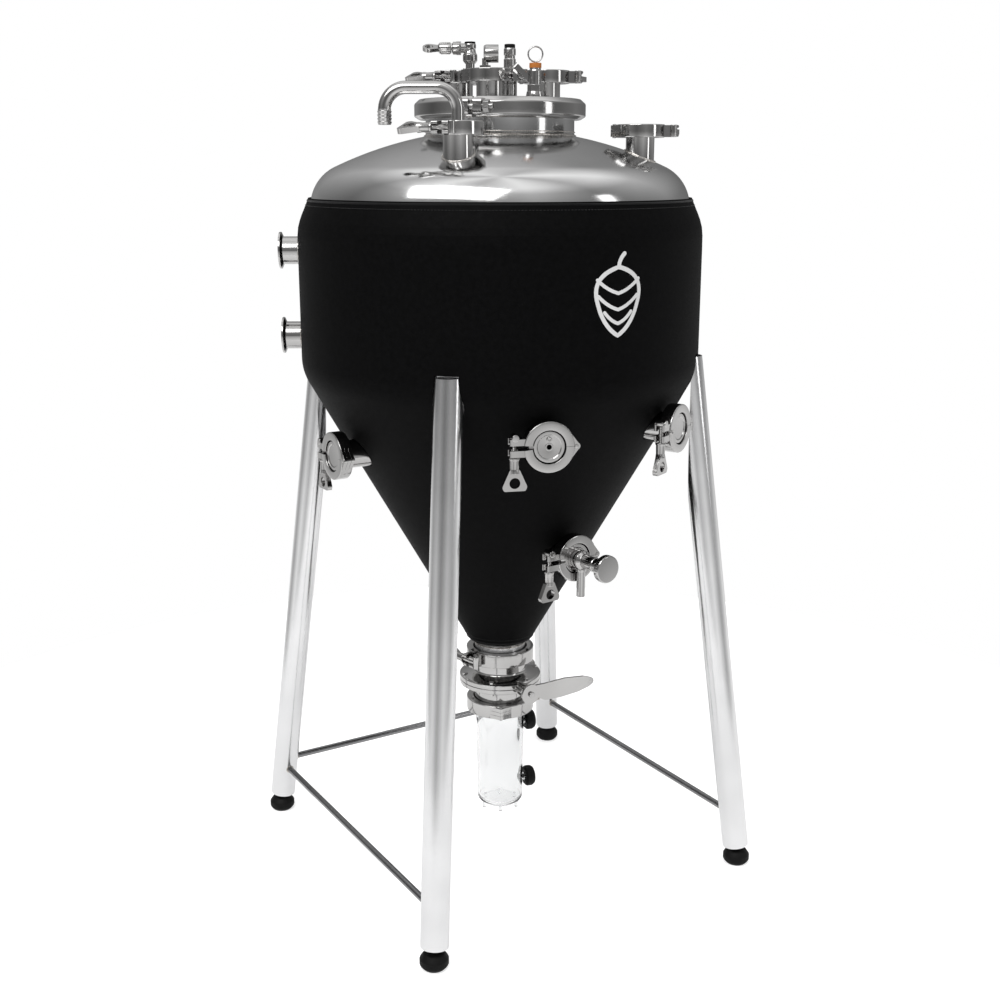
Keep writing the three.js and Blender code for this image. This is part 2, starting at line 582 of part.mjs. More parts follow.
function buildReliefRing() {
  const ringR = 9.4;
  const wireR = 1.1;
  const ringZ = 43 + FIT_GAP + wireR + ringR;
  const stem = bar(1.7, [0, 0, 33], [0, 0, ringZ - ringR + 0.4]);
  const ring = new THREE.TorusGeometry(ringR, wireR, 5, 12).rotateX(Math.PI / 2).translate(0, 0, ringZ);
  return join(solid(stem), solid(ring));
}

// Blow-off cane: up from its cap, over to the local -X and down to a hose tail.
function buildCane() {
  const [r, top, reach, bendR] = [7.9, 48, 90.4, 26];
  const path = new THREE.CurvePath();
  const point = (x, z) => new THREE.Vector3(x, 0, z);
  path.add(new THREE.LineCurve3(point(0, 5), point(0, top - bendR)));
  path.add(new THREE.QuadraticBezierCurve3(point(0, top - bendR), point(0, top), point(-bendR, top)));
  path.add(new THREE.LineCurve3(point(-bendR, top), point(bendR - reach, top)));
  path.add(new THREE.QuadraticBezierCurve3(
    point(bendR - reach, top), point(-reach, top), point(-reach, top - bendR)));
  path.add(new THREE.LineCurve3(point(-reach, top - bendR), point(-reach, 8)));
  const barbs = [4, 9.4, 14.8].flatMap((z) => [[8, z], [9, z + 5]]);
  const tail = revolve([[0, 4], ...barbs, [8, 20.2], [0, 20.2]], 12).translate(-reach, 0, 0);
  const mouth = bar(6, [-reach, 0, 0], [-reach, 0, 16]);
  return cut(join(solid(capDisc(PORT)), solid(sweep(r, path, 15)), solid(tail)), solid(mouth));
}

// ---------------------------------------------------------------------------------------------
// Cone fittings
// ---------------------------------------------------------------------------------------------
function buildThermowell() {
  const tube = revolve([[0, -138], [3, -137], [5, -134], [5, 2], [0, 2]], 12);
  const screw = bar(3.4, [0, 9.6, 5], [0, 9.6, 8], 8);
  const well = bar(3.4, [0, 0, -130], [0, 0, 9]);
  return cut(join(solid(capDisc(PORT)), solid(tube), solid(screw)), solid(well));
}

// Body of the dump valve in its own frame: the flow runs along +Z, the stem lies on +X, and a round
// boss stands out beside it.
function buildDumpValveBody() {
  const mid = DUMP_VALVE_MID;
  const [low, high] = [mid - DUMP_VALVE_HALF, mid + DUMP_VALVE_HALF];
  const end = 2 * mid;
  const neck = DUMP.tubeR + 0.8;
  const shell = revolve([
    [DUMP.boreR, FIT_GAP], [DUMP.flangeR, FIT_GAP], [DUMP.flangeR, DUMP.rim], [neck, DUMP.taper],
    [neck, low - 5], [DUMP_VALVE_R, low], [DUMP_VALVE_R, high], [neck, high + 5], [neck, end - DUMP.taper],
    [DUMP.flangeR, end - DUMP.rim], [DUMP.flangeR, end - FIT_GAP], [DUMP.boreR, end - FIT_GAP],
  ], VALVE_SEGMENTS);
  const boss = bar(DUMP_STEM_R + 5, [DUMP.boreR + 2, 0, mid], [DUMP_BOSS_END, 0, mid], 10);
  const farBoss = bar(DUMP_STEM_R + 3, [-DUMP_VALVE_R - 4, 0, mid], [-DUMP.boreR - 2, 0, mid], 10);
  const sideBoss = bar(9, [-9.6, -45, mid - 2], [-14.1, -66.5, mid - 2], 12);
  const bore = bar(DUMP.boreR, [0, 0, -1], [0, 0, end + 1], VALVE_SEGMENTS);
  const stemHole = bar(DUMP_STEM_R + 0.5, [0, 0, mid], [DUMP_BOSS_END + 1, 0, mid]);
  return cut(join(solid(shell), solid(boss), solid(farBoss), solid(sideBoss)), solid(bore), solid(stemHole));
}

// Disc, stem and hand lever of the dump valve as one turning piece. The lever is a leaf in the plane
// across the stem, drawn as [down, back along the lever] points.
function buildDumpValveLever() {
  const mid = DUMP_VALVE_MID;
  const discR = DUMP.boreR * Math.cos(Math.PI / VALVE_SEGMENTS) - 0.4;
  const disc = bar(discR, [0, 0, mid - 2], [0, 0, mid + 2], VALVE_SEGMENTS);
  const stem = bar(DUMP_STEM_R, [discR - 5, 0, mid], [DUMP_BOSS_END + 7, 0, mid]);
  const leaf = [...arc(0, 0, 15, -40, 220, 9), [-12, -26], [-13, -60], [-9, -94], [-3, -109],
    [3, -113], [9, -106], [13.5, -84], [15.5, -52], [14, -24]];
  const toLeverPlane = new THREE.Matrix4().makeBasis(
    new THREE.Vector3(0, 0, 1), new THREE.Vector3(0, 1, 0), new THREE.Vector3(-1, 0, 0));
  const lever = plate(leaf, 5).applyMatrix4(toLeverPlane).translate(DUMP_BOSS_END + 4, 0, mid);
  const screw = bar(4.5, [DUMP_BOSS_END + 5, 0, mid], [DUMP_BOSS_END + 9, 0, mid], 8);
  return join(solid(disc), solid(stem), solid(lever), solid(screw));
}

function buildSampleBody() {
  const spoutZ = 15.6;
  const barrel = revolve([[0, 4], [13.5, 4], [13.5, 20], [9.6, 24], [9.6, 54], [0, 54]]);
  const spout = bar(5.8, [0, 0, spoutZ], [0, -52, spoutZ]);
  const outlet = bar(3.8, [0, -54, spoutZ], [0, -6, spoutZ]);
  const socket = bar(4.6, [0, 0, 30], [0, 0, 60]);
  return cut(join(solid(capDisc(PORT)), solid(barrel), solid(spout)), solid(outlet), solid(socket));
}

const buildSampleKnob = () => solid(revolve([
  [0, 34], [4, 34], [4, 54.5], [9.6, 54.5], [10.5, 62], [18.5, 64.5], [18.5, 71.5], [17, 73], [0, 73],
]));

// ---------------------------------------------------------------------------------------------
// Collection jar
// ---------------------------------------------------------------------------------------------
function buildJar() {
  const top = DUMP_OUTLET_Z - FIT_GAP;
  const outside = [[DUMP.flangeR, top], [DUMP.flangeR, top - DUMP.rim], [DUMP.tubeR + 0.4, top - DUMP.taper],
    [JAR_TOP_R, top - 9], [JAR_BOTTOM_R, JAR_BOTTOM_Z + 3], [JAR_BOTTOM_R - 3, JAR_BOTTOM_Z],
    [0, JAR_BOTTOM_Z]];
  const inside = [[0, JAR_BOTTOM_Z + 4], [JAR_BOTTOM_R - JAR_WALL - 2, JAR_BOTTOM_Z + 4],
    [JAR_BOTTOM_R - JAR_WALL, JAR_BOTTOM_Z + 8], [JAR_TOP_R - JAR_WALL, top]];
  const shell = new THREE.LatheGeometry([...inside, ...outside].map(([r, z]) => new THREE.Vector2(r, z)), 20)
    .rotateX(Math.PI / 2);
  const feet = Array.from({ length: 6 }, (_, i) => {
    const a = radians(60 * i + 30);
    const [x, y] = [28 * Math.sin(a), -28 * Math.cos(a)];
    return bar(3, [x, y, JAR_BOTTOM_Z - JAR_FOOT_H], [x, y, JAR_BOTTOM_Z + 2], 8);
  });
  let jar = join(solid(shell), ...feet.map(solid));
  for (const z of Object.values(JAR_KNOBS)) {
    const matrix = sidePort({ azimuth: JAR_KNOB_AZIMUTH, faceR: 0, z });
    jar = join(jar, solid(placed(bar(6.5, [0, 0, 32.2], [0, 0, 38.5]), matrix)));
    jar = cut(jar, solid(placed(bar(3.4, [0, 0, 20], [0, 0, 40]), matrix)));
  }
  return jar;
}

const buildJarKnob = () => solid(revolve([
  [0, 34], [2.8, 34], [2.8, 39], [12, 39], [15.5, 42], [15.5, 50], [13, 54.5], [0, 54.5],
], 16));

// ---------------------------------------------------------------------------------------------
// Assembly
// ---------------------------------------------------------------------------------------------
addNode(object, 'tank_dome', buildHead(), FINISH.polished);
addNode(object, 'tank_wall', buildWall(), FINISH.brushed);
addNode(object, 'tank_cone', buildCone(), FINISH.brushed);
addNode(object, 'cooling_jacket', buildCoolingJacket(), FINISH.brushed);
addNode(object, 'neoprene_jacket', buildCover(), FINISH.neoprene);

for (const [place, azimuth] of Object.entries(LEG_AZIMUTHS)) {
  addNode(object, `leg_${place}`, buildLeg(azimuth), FINISH.brushed);
  addNode(object, `foot_${place}`, buildFoot(azimuth), FINISH.rubber);
}
addNode(object, 'stretcher_left', buildStretcher(-45, -135, STRETCHER_Z.left), FINISH.brushed);
addNode(object, 'stretcher_back', buildStretcher(-135, 135, STRETCHER_Z.back), FINISH.brushed);
addNode(object, 'stretcher_right', buildStretcher(135, 45, STRETCHER_Z.right), FINISH.brushed);

addNode(object, 'lid', buildLid(), FINISH.polished);
addNode(object, 'lid_gasket', solid(revolve([
  [100, NECK_FACE_Z + FIT_GAP], [108, NECK_FACE_Z + FIT_GAP],
  [108, LID_BOTTOM_Z - FIT_GAP], [100, LID_BOTTOM_Z - FIT_GAP],
], SHELL_SEGMENTS)), FINISH.silicone);
addNode(object, 'lid_clamp', buildLidClamp(), FINISH.polished);
addNode(object, 'lid_clamp_bolt', buildLidClampBolt(), FINISH.polished);

const gaugePort = addGroup(uprightPort(GAUGE_PORT, LID_PORT_FACE_Z));
addNode(gaugePort, 'gauge_cap', solid(capDisc(PORT)), FINISH.polished);
addNode(gaugePort, 'pressure_gauge', buildGauge(), FINISH.polished);
addNode(gaugePort, 'gauge_needle', buildNeedle(), FINISH.red);
addClampWithNut(gaugePort, 'gauge', PORT, PORT_CLAMP, 0, -1, 45);

const gasPort = addGroup(uprightPort(GAS_PORT, LID_PORT_FACE_Z));
addNode(gasPort, 'gas_cap', buildGasCap(), FINISH.polished);
addNode(gasPort, 'gas_cock_handle', buildGasCockHandle(), FINISH.polished);
addClampWithNut(gasPort, 'gas', PORT, PORT_CLAMP, 245, -1, 18);

const blankPort = addGroup(uprightPort(BLANK_PORT, LID_PORT_FACE_Z));
addNode(blankPort, 'lid_blank_cap', solid(capDisc(PORT)), FINISH.polished);
addClosedClamp(blankPort, 'lid_blank', PORT, PORT_CLAMP, 0, 1);

addNode(addGroup(uprightPort(GAS_POST, LID_TOP_Z)), 'gas_post', buildGasPost(), FINISH.polished);
const reliefValve = addGroup(uprightPort(RELIEF_VALVE, LID_TOP_Z));
addNode(reliefValve, 'relief_valve_body', buildReliefBody(), FINISH.polished);
addNode(reliefValve, 'relief_valve_ring', buildReliefRing(), FINISH.polished);

const canePort = addGroup(uprightPort(CANE_PORT, HEAD_PORT_FACE_Z));
addNode(canePort, 'blow_off_cane', buildCane(), FINISH.polished);
addClampWithNut(canePort, 'cane', PORT, PORT_CLAMP, 245, -1, 18);

const headBlankPort = addGroup(uprightPort(HEAD_BLANK_PORT, HEAD_PORT_FACE_Z));
addNode(headBlankPort, 'dome_blank_cap', solid(capDisc(PORT)), FINISH.polished);
addClosedClamp(headBlankPort, 'dome_blank', PORT, PORT_CLAMP, 0, 1);

const thermowellPort = addGroup(sidePort(THERMOWELL_PORT));
addNode(thermowellPort, 'thermowell', buildThermowell(), FINISH.polished);
addClampWithNut(thermowellPort, 'thermowell', PORT, PORT_CLAMP, 180, 1);

const coneBlankPort = addGroup(sidePort(CONE_BLANK_PORT));
addNode(coneBlankPort, 'cone_blank_cap', solid(capDisc(PORT)), FINISH.polished);
addClampWithNut(coneBlankPort, 'cone_blank', PORT, PORT_CLAMP, 180, 1);

const samplePort = addGroup(sidePort(SAMPLE_PORT));
addNode(samplePort, 'sample_valve_body', buildSampleBody(), FINISH.polished);
addNode(samplePort, 'sample_valve_knob', buildSampleKnob(), FINISH.polished);
addClampWithNut(samplePort, 'sample', PORT, PORT_CLAMP, 180, 1);

const sideBlankPort = addGroup(sidePort(SIDE_BLANK_PORT));
addNode(sideBlankPort, 'side_blank_cap', solid(capDisc(PORT)), FINISH.polished);
addClampWithNut(sideBlankPort, 'side_blank', PORT, PORT_CLAMP, 180, 1);

// The dump valve's own frame: its flow axis points down, its stem to the front.
const dumpFrame = new THREE.Matrix4().makeBasis(
  new THREE.Vector3(0, -1, 0), new THREE.Vector3(-1, 0, 0), new THREE.Vector3(0, 0, -1));
const dumpValve = addGroup(dumpFrame.setPosition(0, 0, DUMP_FACE_Z));
addNode(dumpValve, 'dump_valve_body', buildDumpValveBody(), FINISH.polished);
addNode(dumpValve, 'dump_valve_lever', buildDumpValveLever(), FINISH.polished);
const dumpInlet = addGroup(new THREE.Matrix4().makeTranslation(0, 0, DUMP_FACE_Z));
addClampWithNut(dumpInlet, 'dump_inlet', DUMP, DUMP_CLAMP, 192, -1);
const dumpOutlet = addGroup(new THREE.Matrix4().makeTranslation(0, 0, DUMP_OUTLET_Z));
addClosedClamp(dumpOutlet, 'dump_outlet', DUMP, DUMP_CLAMP, 60, -1);

addNode(object, 'collection_jar', buildJar(), FINISH.clear);
for (const [name, z] of Object.entries(JAR_KNOBS)) {
  const knobFrame = addGroup(sidePort({ azimuth: JAR_KNOB_AZIMUTH, faceR: 0, z }));
  addNode(knobFrame, name, buildJarKnob(), FINISH.rubber);
}

export default object;
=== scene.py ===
"""Looks for the jacketed conical fermenter. Shapes are drawn in millimetres in their own frames, and each
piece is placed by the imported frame's boxes and joints."""
import json
import math

import bmesh
import bpy
from mathutils import Matrix, Vector
from mathutils.geometry import tessellate_polygon


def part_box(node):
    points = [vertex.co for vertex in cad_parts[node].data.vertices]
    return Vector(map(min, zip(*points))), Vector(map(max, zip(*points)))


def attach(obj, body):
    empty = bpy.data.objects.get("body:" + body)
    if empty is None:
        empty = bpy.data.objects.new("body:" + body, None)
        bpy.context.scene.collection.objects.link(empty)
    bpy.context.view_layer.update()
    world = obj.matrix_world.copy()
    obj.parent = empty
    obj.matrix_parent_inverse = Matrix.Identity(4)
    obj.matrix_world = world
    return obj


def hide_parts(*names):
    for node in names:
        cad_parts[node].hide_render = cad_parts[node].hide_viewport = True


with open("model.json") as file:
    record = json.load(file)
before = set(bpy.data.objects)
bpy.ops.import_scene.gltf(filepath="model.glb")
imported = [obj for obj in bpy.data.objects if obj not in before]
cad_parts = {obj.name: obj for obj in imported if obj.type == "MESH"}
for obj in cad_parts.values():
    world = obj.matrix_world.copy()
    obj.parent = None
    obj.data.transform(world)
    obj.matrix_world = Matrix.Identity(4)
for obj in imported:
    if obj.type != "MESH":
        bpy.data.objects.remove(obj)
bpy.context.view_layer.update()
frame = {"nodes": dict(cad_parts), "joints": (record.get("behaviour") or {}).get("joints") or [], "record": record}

MM = 0.001
FIT_GAP = 0.3
JOINTS = {joint["name"]: joint for joint in frame["joints"]}
OPENINGS = {entry["name"]: entry for entry in frame["record"]["physics"]["openings"]}

# --- Standard sizes, in millimetres ---
PORT = {"tube": 19.05, "bore": 17.4, "flange": 25.25, "rim": 2.9, "taper": 5.6}
DUMP = {"tube": 38.1, "bore": 36.5, "flange": 45.5, "rim": 3.2, "taper": 6.6}
PORT_CLAMP = {"outer": 32.5, "half": 8.5, "bolt_at": 43, "end": 51, "bolt": 3.2}
DUMP_CLAMP = {"outer": 50.5, "half": 10, "bolt_at": 60, "end": 67, "bolt": 3.6}
SHELL_STEPS = 160
FITTING_STEPS = 56
ROD_STEPS = 28
RIB_STEPS = 8
WELD_NUMBER = 1


# --- Reading the frame ---
def corners(node):
    low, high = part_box(node)
    return Vector(low) / MM, Vector(high) / MM


def middle(node):
    low, high = corners(node)
    return (low + high) / 2


def joint_place(name):
    joint = JOINTS[name]
    return Vector(joint["pos_m"]) / MM, Vector(joint["axis"]).normalized()


def radial_frame(azimuth, face, z):
    """A frame in the vessel's side: +Z out along the radius, +Y up, origin on the ferrule's face."""
    out = Vector((math.sin(azimuth), -math.cos(azimuth), 0))
    across = Vector((math.cos(azimuth), math.sin(azimuth), 0))
    up = Vector((0, 0, 1))
    place = Matrix((across, up, out)).transposed().to_4x4()
    place.translation = out * face + up * z
    return place


def side_port(nut_joint):
    """The frame of a port whose clamp bolt stands beside it on the left, at the clamp's bolt distance."""
    point, _ = joint_place(nut_joint)
    beside = PORT_CLAMP["bolt_at"]
    face = math.sqrt(point.x ** 2 + point.y ** 2 - beside ** 2)
    azimuth = math.atan2(point.x, -point.y) + math.atan2(beside, face)
    return radial_frame(azimuth, face, point.z)


def clocking():
    """The angle that the lid's fittings are turned through, read from the gas cock's axis."""
    _, axis = joint_place("gas_cock")
    return math.atan2(-axis.y, -axis.x)


CLOCK = clocking()


def upright_frame(x, y, z):
    return Matrix.Translation((x, y, z)) @ Matrix.Rotation(CLOCK, 4, "Z")


def upright_port_of_cap(cap):
    point = middle(cap)
    return upright_frame(point.x, point.y, corners(cap)[0].z - FIT_GAP)


def upright_port_of_nut(nut_joint, turn):
    point, _ = joint_place(nut_joint)
    angle = CLOCK + math.radians(turn)
    beside = PORT_CLAMP["bolt_at"]
    return upright_frame(point.x - beside * math.cos(angle), point.y - beside * math.sin(angle), point.z)


GAUGE_PORT = upright_port_of_cap("gauge_cap")
GAS_PORT = upright_port_of_nut("gas_nut_turn", 245)
LID_BLANK_PORT = upright_port_of_cap("lid_blank_cap")
CANE_PORT = upright_port_of_nut("cane_nut_turn", 245)
HEAD_BLANK_PORT = upright_port_of_cap("dome_blank_cap")
THERMOWELL_PORT = side_port("thermowell_nut_turn")
CONE_BLANK_PORT = side_port("cone_blank_nut_turn")
SAMPLE_PORT = side_port("sample_nut_turn")
SIDE_BLANK_PORT = side_port("side_blank_nut_turn")


def coolant_port(name):
    low, high = (Vector(corner) / MM for corner in OPENINGS[name]["box_m"])
    point = (low + high) / 2
    to_face = 12
    return radial_frame(math.atan2(point.x, -point.y), math.hypot(point.x, point.y) + to_face, point.z)


COOLANT_PORTS = [coolant_port("coolant_port_upper"), coolant_port("coolant_port_lower")]
DUMP_FACE_Z = middle("dump_inlet_clamp").z
OUTLET_Z = middle("dump_outlet_clamp").z
DUMP_PORT = Matrix(((0, -1, 0, 0), (-1, 0, 0, 0), (0, 0, -1, DUMP_FACE_Z), (0, 0, 0, 1)))


# --- Shapes ---
class Shape:
    """Points and faces of one piece, in millimetres, with a material number for each face."""

    def __init__(self):
        self.points = []
        self.faces = []
        self.numbers = []

    def add(self, points, faces, place=None, number=0):
        start = len(self.points)
        place = place or Matrix()
        self.points += [place @ Vector(point) for point in points]
        self.faces += [[start + index for index in face] for face in faces]
        self.numbers += [number] * len(faces)
        return self

    def revolve(self, profile, place=None, steps=FITTING_STEPS, number=0, span=None):
        """Turns a profile of (radius, z) about the local +Z. It starts and ends on the axis, or it closes."""
        on_axis = profile[0][0] < 1e-6 and profile[-1][0] < 1e-6
        start, end = span or (0, 360)
        whole = span is None
        rings = steps if whole else steps + 1
        points = []
        index = {}
        for i in range(rings):
            angle = math.radians(start + (end - start) * i / steps)
            for j, (r, z) in enumerate(profile):
                if r < 1e-6 and i > 0:
                    index[i, j] = index[0, j]
                    continue
                index[i, j] = len(points)
                points.append((r * math.cos(angle), r * math.sin(angle), z))
        count = len(profile)
        rows = count - 1 if on_axis else count
        faces = []
        for i in range(steps):
            for j in range(rows):
                k = (j + 1) % count
                n = (i + 1) % rings
                face = [index[i, j], index[n, j], index[n, k], index[i, k]]
                face = list(dict.fromkeys(face))
                if len(face) > 2:
                    faces.append(face)
        if not whole:
            faces.append([index[0, j] for j in range(count)])
            faces.append([index[rings - 1, j] for j in reversed(range(count))])
        return self.add(points, faces, place, number)

    def turn(self, profile, edge, place=None, steps=FITTING_STEPS, number=0, closed=False):
        """Turns an outline of (radius, z) whose corners are rounded."""
        return self.revolve(rounded(profile, edge, closed=closed), place, steps, number)

    def rod(self, radius, start, end, edge=0.4, steps=ROD_STEPS, place=None):
        """A round bar between two points, with softened ends."""
        start, end = Vector(start), Vector(end)
        along = end - start
        length = along.length
        here = (place or Matrix()) @ Matrix.Translation(start) @ facing(along.normalized())
        return self.turn([(0, 0), (radius, 0), (radius, length), (0, length)], edge, here, steps)

    def ribs(self, count, radius, at, low, high, place, edge=0.2):
        """Straight grip ribs round a knob, on a circle about the local Z."""
        for k in range(count):
            here = place @ Matrix.Rotation(2 * math.pi * k / count, 4, "Z")
            self.rod(radius, (at, 0, low), (at, 0, high), place=here, steps=RIB_STEPS, edge=edge)

    def placed(self, place):
        """Moves every point by a frame."""
        self.points = [place @ point for point in self.points]
        return self

    def prism(self, outline, low, high, place=None, holes=(), number=0):
        """An outline in the XY plane between two heights, with holes given as outlines."""
        loops = [outline, *holes]
        flat = [Vector((x, y, 0)) for loop in loops for x, y in loop]
        count = len(flat)
        points = [(p.x, p.y, low) for p in flat] + [(p.x, p.y, high) for p in flat]
        caps = tessellate_polygon([[Vector((x, y, 0)) for x, y in loop] for loop in loops])
        faces = [list(face) for face in caps] + [[count + i for i in reversed(face)] for face in caps]
        start = 0
        for loop in loops:
            size = len(loop)
            for i in range(size):
                a, b = start + i, start + (i + 1) % size
                faces.append([a, b, count + b, count + a])
            start += size
        return self.add(points, faces, place, number)

    def tube(self, path, radius, place=None, steps=ROD_STEPS, number=0, inner=None):
        """A round bar or an open-ended pipe along a list of points."""
        path = [Vector(point) for point in path]
        end = len(path) - 1
        tangents = [(path[min(i + 1, end)] - path[max(i - 1, 0)]).normalized() for i in range(end + 1)]
        side = tangents[0].orthogonal().normalized()
        frames = []
        for i, tangent in enumerate(tangents):
            if i:
                side = tangents[i - 1].rotation_difference(tangent) @ side
            side = (side - tangent * side.dot(tangent)).normalized()
            frames.append((side.copy(), tangent.cross(side)))
        radii = [radius] if inner is None else [radius, inner]
        points = []
        for r in radii:
            for centre, (u, v) in zip(path, frames):
                for k in range(steps):
                    angle = 2 * math.pi * k / steps
                    points.append(centre + (u * math.cos(angle) + v * math.sin(angle)) * r)
        faces = []
        length = len(path)
        for shell in range(len(radii)):
            base = shell * length * steps
            for i in range(length - 1):
                for k in range(steps):
                    m = (k + 1) % steps
                    row, up = base + i * steps, base + (i + 1) * steps
                    quad = [row + k, row + m, up + m, up + k]
                    faces.append(quad if shell == 0 else quad[::-1])
        last = (length - 1) * steps
        if inner is None:
            faces.append(list(range(steps))[::-1])
            faces.append([last + k for k in range(steps)])
        else:
            shift = length * steps
            for k in range(steps):
                m = (k + 1) % steps
                faces.append([k, shift + k, shift + m, m])
                faces.append([last + k, last + m, shift + last + m, shift + last + k])
        return self.add(points, faces, place, number)


def rounded(profile, radius, closed=True, steps=4):
    """Rounds a profile's corners. A point may carry its own corner radius as a third value."""
    count = len(profile)
    result = []
    for i, point in enumerate(profile):
        r = point[2] if len(point) > 2 else radius
        here = Vector(point[:2])
        if (not closed and i in (0, count - 1)) or r <= 0:
            result.append(tuple(here))
            continue
        before = Vector(profile[i - 1][:2]) - here
        after = Vector(profile[(i + 1) % count][:2]) - here
        if before.length < 1e-6 or after.length < 1e-6:
            result.append(tuple(here))
            continue
        angle = before.angle(after)
        if angle > math.radians(176) or angle < math.radians(4):
            result.append(tuple(here))
            continue
        reach = min(r / math.tan(angle / 2), 0.45 * before.length, 0.45 * after.length)
        start, end = here + before.normalized() * reach, here + after.normalized() * reach
        for k in range(steps + 1):
            t = k / steps
            bend = start * (1 - t) ** 2 + here * 2 * t * (1 - t) + end * t ** 2
            result.append(tuple(bend))
    return result


def arc(cx, cy, radius, start, end, count):
    """Points on an arc, with its angles in degrees."""
    angles = [math.radians(start + (end - start) * i / count) for i in range(count + 1)]
    return [(cx + radius * math.cos(a), cy + radius * math.sin(a)) for a in angles]


def full_turn(steps):
    """Angles once round, with the first again at the end."""
    return [2 * math.pi * i / steps for i in range(steps + 1)]


def facing(way):
    """The turn that takes +Z to a direction."""
    return Vector((0, 0, 1)).rotation_difference(way).to_matrix().to_4x4()


ON_EDGE = Matrix.Rotation(math.radians(90), 4, "X")


def circle(cx, cy, radius, count=32):
    return arc(cx, cy, radius, 0, 360, count)[:-1]


def bent(points, radius, steps=10):
    """A path of straight runs whose corners are round bends."""
    points = [Vector(point) for point in points]
    path = [points[0]]
    for before, here, after in zip(points, points[1:], points[2:]):
        back, on = (before - here).normalized(), (after - here).normalized()
        half = back.angle(on) / 2
        reach = radius / math.tan(half)
        centre = here + (back + on).normalized() * radius / math.sin(half)
        start = here + back * reach - centre
        end = here + on * reach - centre
        turn = start.angle(end)
        for k in range(steps + 1):
            t = k / steps
            weight = math.sin((1 - t) * turn), math.sin(t * turn)
            path.append(centre + (start * weight[0] + end * weight[1]) / math.sin(turn))
    path.append(points[-1])
    return path


# --- Materials ---
NOISE_SPAN = (0.3, 0.7)


def new_material(name):
    material = bpy.data.materials.new(name)
    material.use_nodes = True
    tree = material.node_tree
    return material, tree, tree.nodes["Principled BSDF"]


def add_noise(tree, scale, detail=3.0, stretch=(1, 1, 1)):
    coordinates = tree.nodes.new("ShaderNodeTexCoord")
    mapping = tree.nodes.new("ShaderNodeMapping")
    mapping.inputs["Scale"].default_value = stretch
    noise = tree.nodes.new("ShaderNodeTexNoise")
    noise.inputs["Scale"].default_value = scale
    noise.inputs["Detail"].default_value = detail
    tree.links.new(coordinates.outputs["Object"], mapping.inputs["Vector"])
    tree.links.new(mapping.outputs["Vector"], noise.inputs["Vector"])
    return noise


def spread(tree, source, low, high, start=NOISE_SPAN[0], end=NOISE_SPAN[1]):
    """Maps a noise output's usual range to a range of values."""
    remap = tree.nodes.new("ShaderNodeMapRange")
    remap.inputs["From Min"].default_value = start
    remap.inputs["From Max"].default_value = end
    remap.inputs["To Min"].default_value = low
    remap.inputs["To Max"].default_value = high
    tree.links.new(source, remap.inputs["Value"])
    return remap.outputs["Result"]


def tinted(tree, source, first, second):
    """Maps a noise output's usual range to a range of colours."""
    ramp = tree.nodes.new("ShaderNodeValToRGB")
    for element, position, colour in zip(ramp.color_ramp.elements, NOISE_SPAN, (first, second)):
        element.position = position
        element.color = (*colour, 1)
    tree.links.new(source, ramp.inputs["Fac"])
    return ramp.outputs["Color"]


def bumped(tree, shader, source, strength, distance):
    bump = tree.nodes.new("ShaderNodeBump")
    bump.inputs["Strength"].default_value = strength
    bump.inputs["Distance"].default_value = distance
    tree.links.new(source, bump.inputs["Height"])
    earlier = shader.inputs["Normal"].links
    if earlier:
        tree.links.new(earlier[0].from_socket, bump.inputs["Normal"])
    tree.links.new(bump.outputs["Normal"], shader.inputs["Normal"])


def steel(name, dark, light, smooth, rough, stretch, grain):
    """Stainless steel: slow changes of tone, and a fine grain in the roughness and the surface."""
    material, tree, shader = new_material(name)
    shader.inputs["Metallic"].default_value = 1
    slow = add_noise(tree, 9, 2)
    fine = add_noise(tree, 1, 4, stretch)
    tree.links.new(tinted(tree, slow.outputs["Fac"], dark, light), shader.inputs["Base Color"])
    tree.links.new(spread(tree, fine.outputs["Fac"], smooth, rough), shader.inputs["Roughness"])
    bumped(tree, shader, fine.outputs["Fac"], grain, 0.00004)
    return material


def plastic(name, dark, light, roughness, grain, scale, sheen=0.0, shine=0.5):
    material, tree, shader = new_material(name)
    slow = add_noise(tree, 14, 2)
    fine = add_noise(tree, scale, 3)
    tree.links.new(tinted(tree, slow.outputs["Fac"], dark, light), shader.inputs["Base Color"])
    rough = spread(tree, fine.outputs["Fac"], roughness - 0.06, roughness + 0.06)
    tree.links.new(rough, shader.inputs["Roughness"])
    shader.inputs["Sheen Weight"].default_value = sheen
    shader.inputs["Specular IOR Level"].default_value = shine
    bumped(tree, shader, fine.outputs["Fac"], grain, 0.0002)
    return material


def neoprene():
    """Knit-faced neoprene: a fine knit of short ribs over a slightly uneven foam."""
    material, tree, shader = new_material("neoprene_knit")
    foam = add_noise(tree, 11, 3)
    knit = add_noise(tree, 1, 1, (700, 700, 1300))
    lint = add_noise(tree, 160, 4)
    tree.links.new(tinted(tree, lint.outputs["Fac"], (0.0012, 0.0012, 0.0013), (0.0026, 0.0026, 0.0028)),
                   shader.inputs["Base Color"])
    tree.links.new(spread(tree, knit.outputs["Fac"], 0.55, 0.72), shader.inputs["Roughness"])
    shader.inputs["Specular IOR Level"].default_value = 0.05
    bumped(tree, shader, foam.outputs["Fac"], 0.25, 0.004)
    bumped(tree, shader, knit.outputs["Fac"], 0.35, 0.0003)
    return material


def clear_plastic():
    material, tree, shader = new_material("clear_jar_plastic")
    haze = add_noise(tree, 40, 3)
    shader.inputs["Base Color"].default_value = (0.985, 0.99, 0.992, 1)
    shader.inputs["Transmission Weight"].default_value = 1
    shader.inputs["IOR"].default_value = 1.42
    tree.links.new(spread(tree, haze.outputs["Fac"], 0.0, 0.03), shader.inputs["Roughness"])
    return material


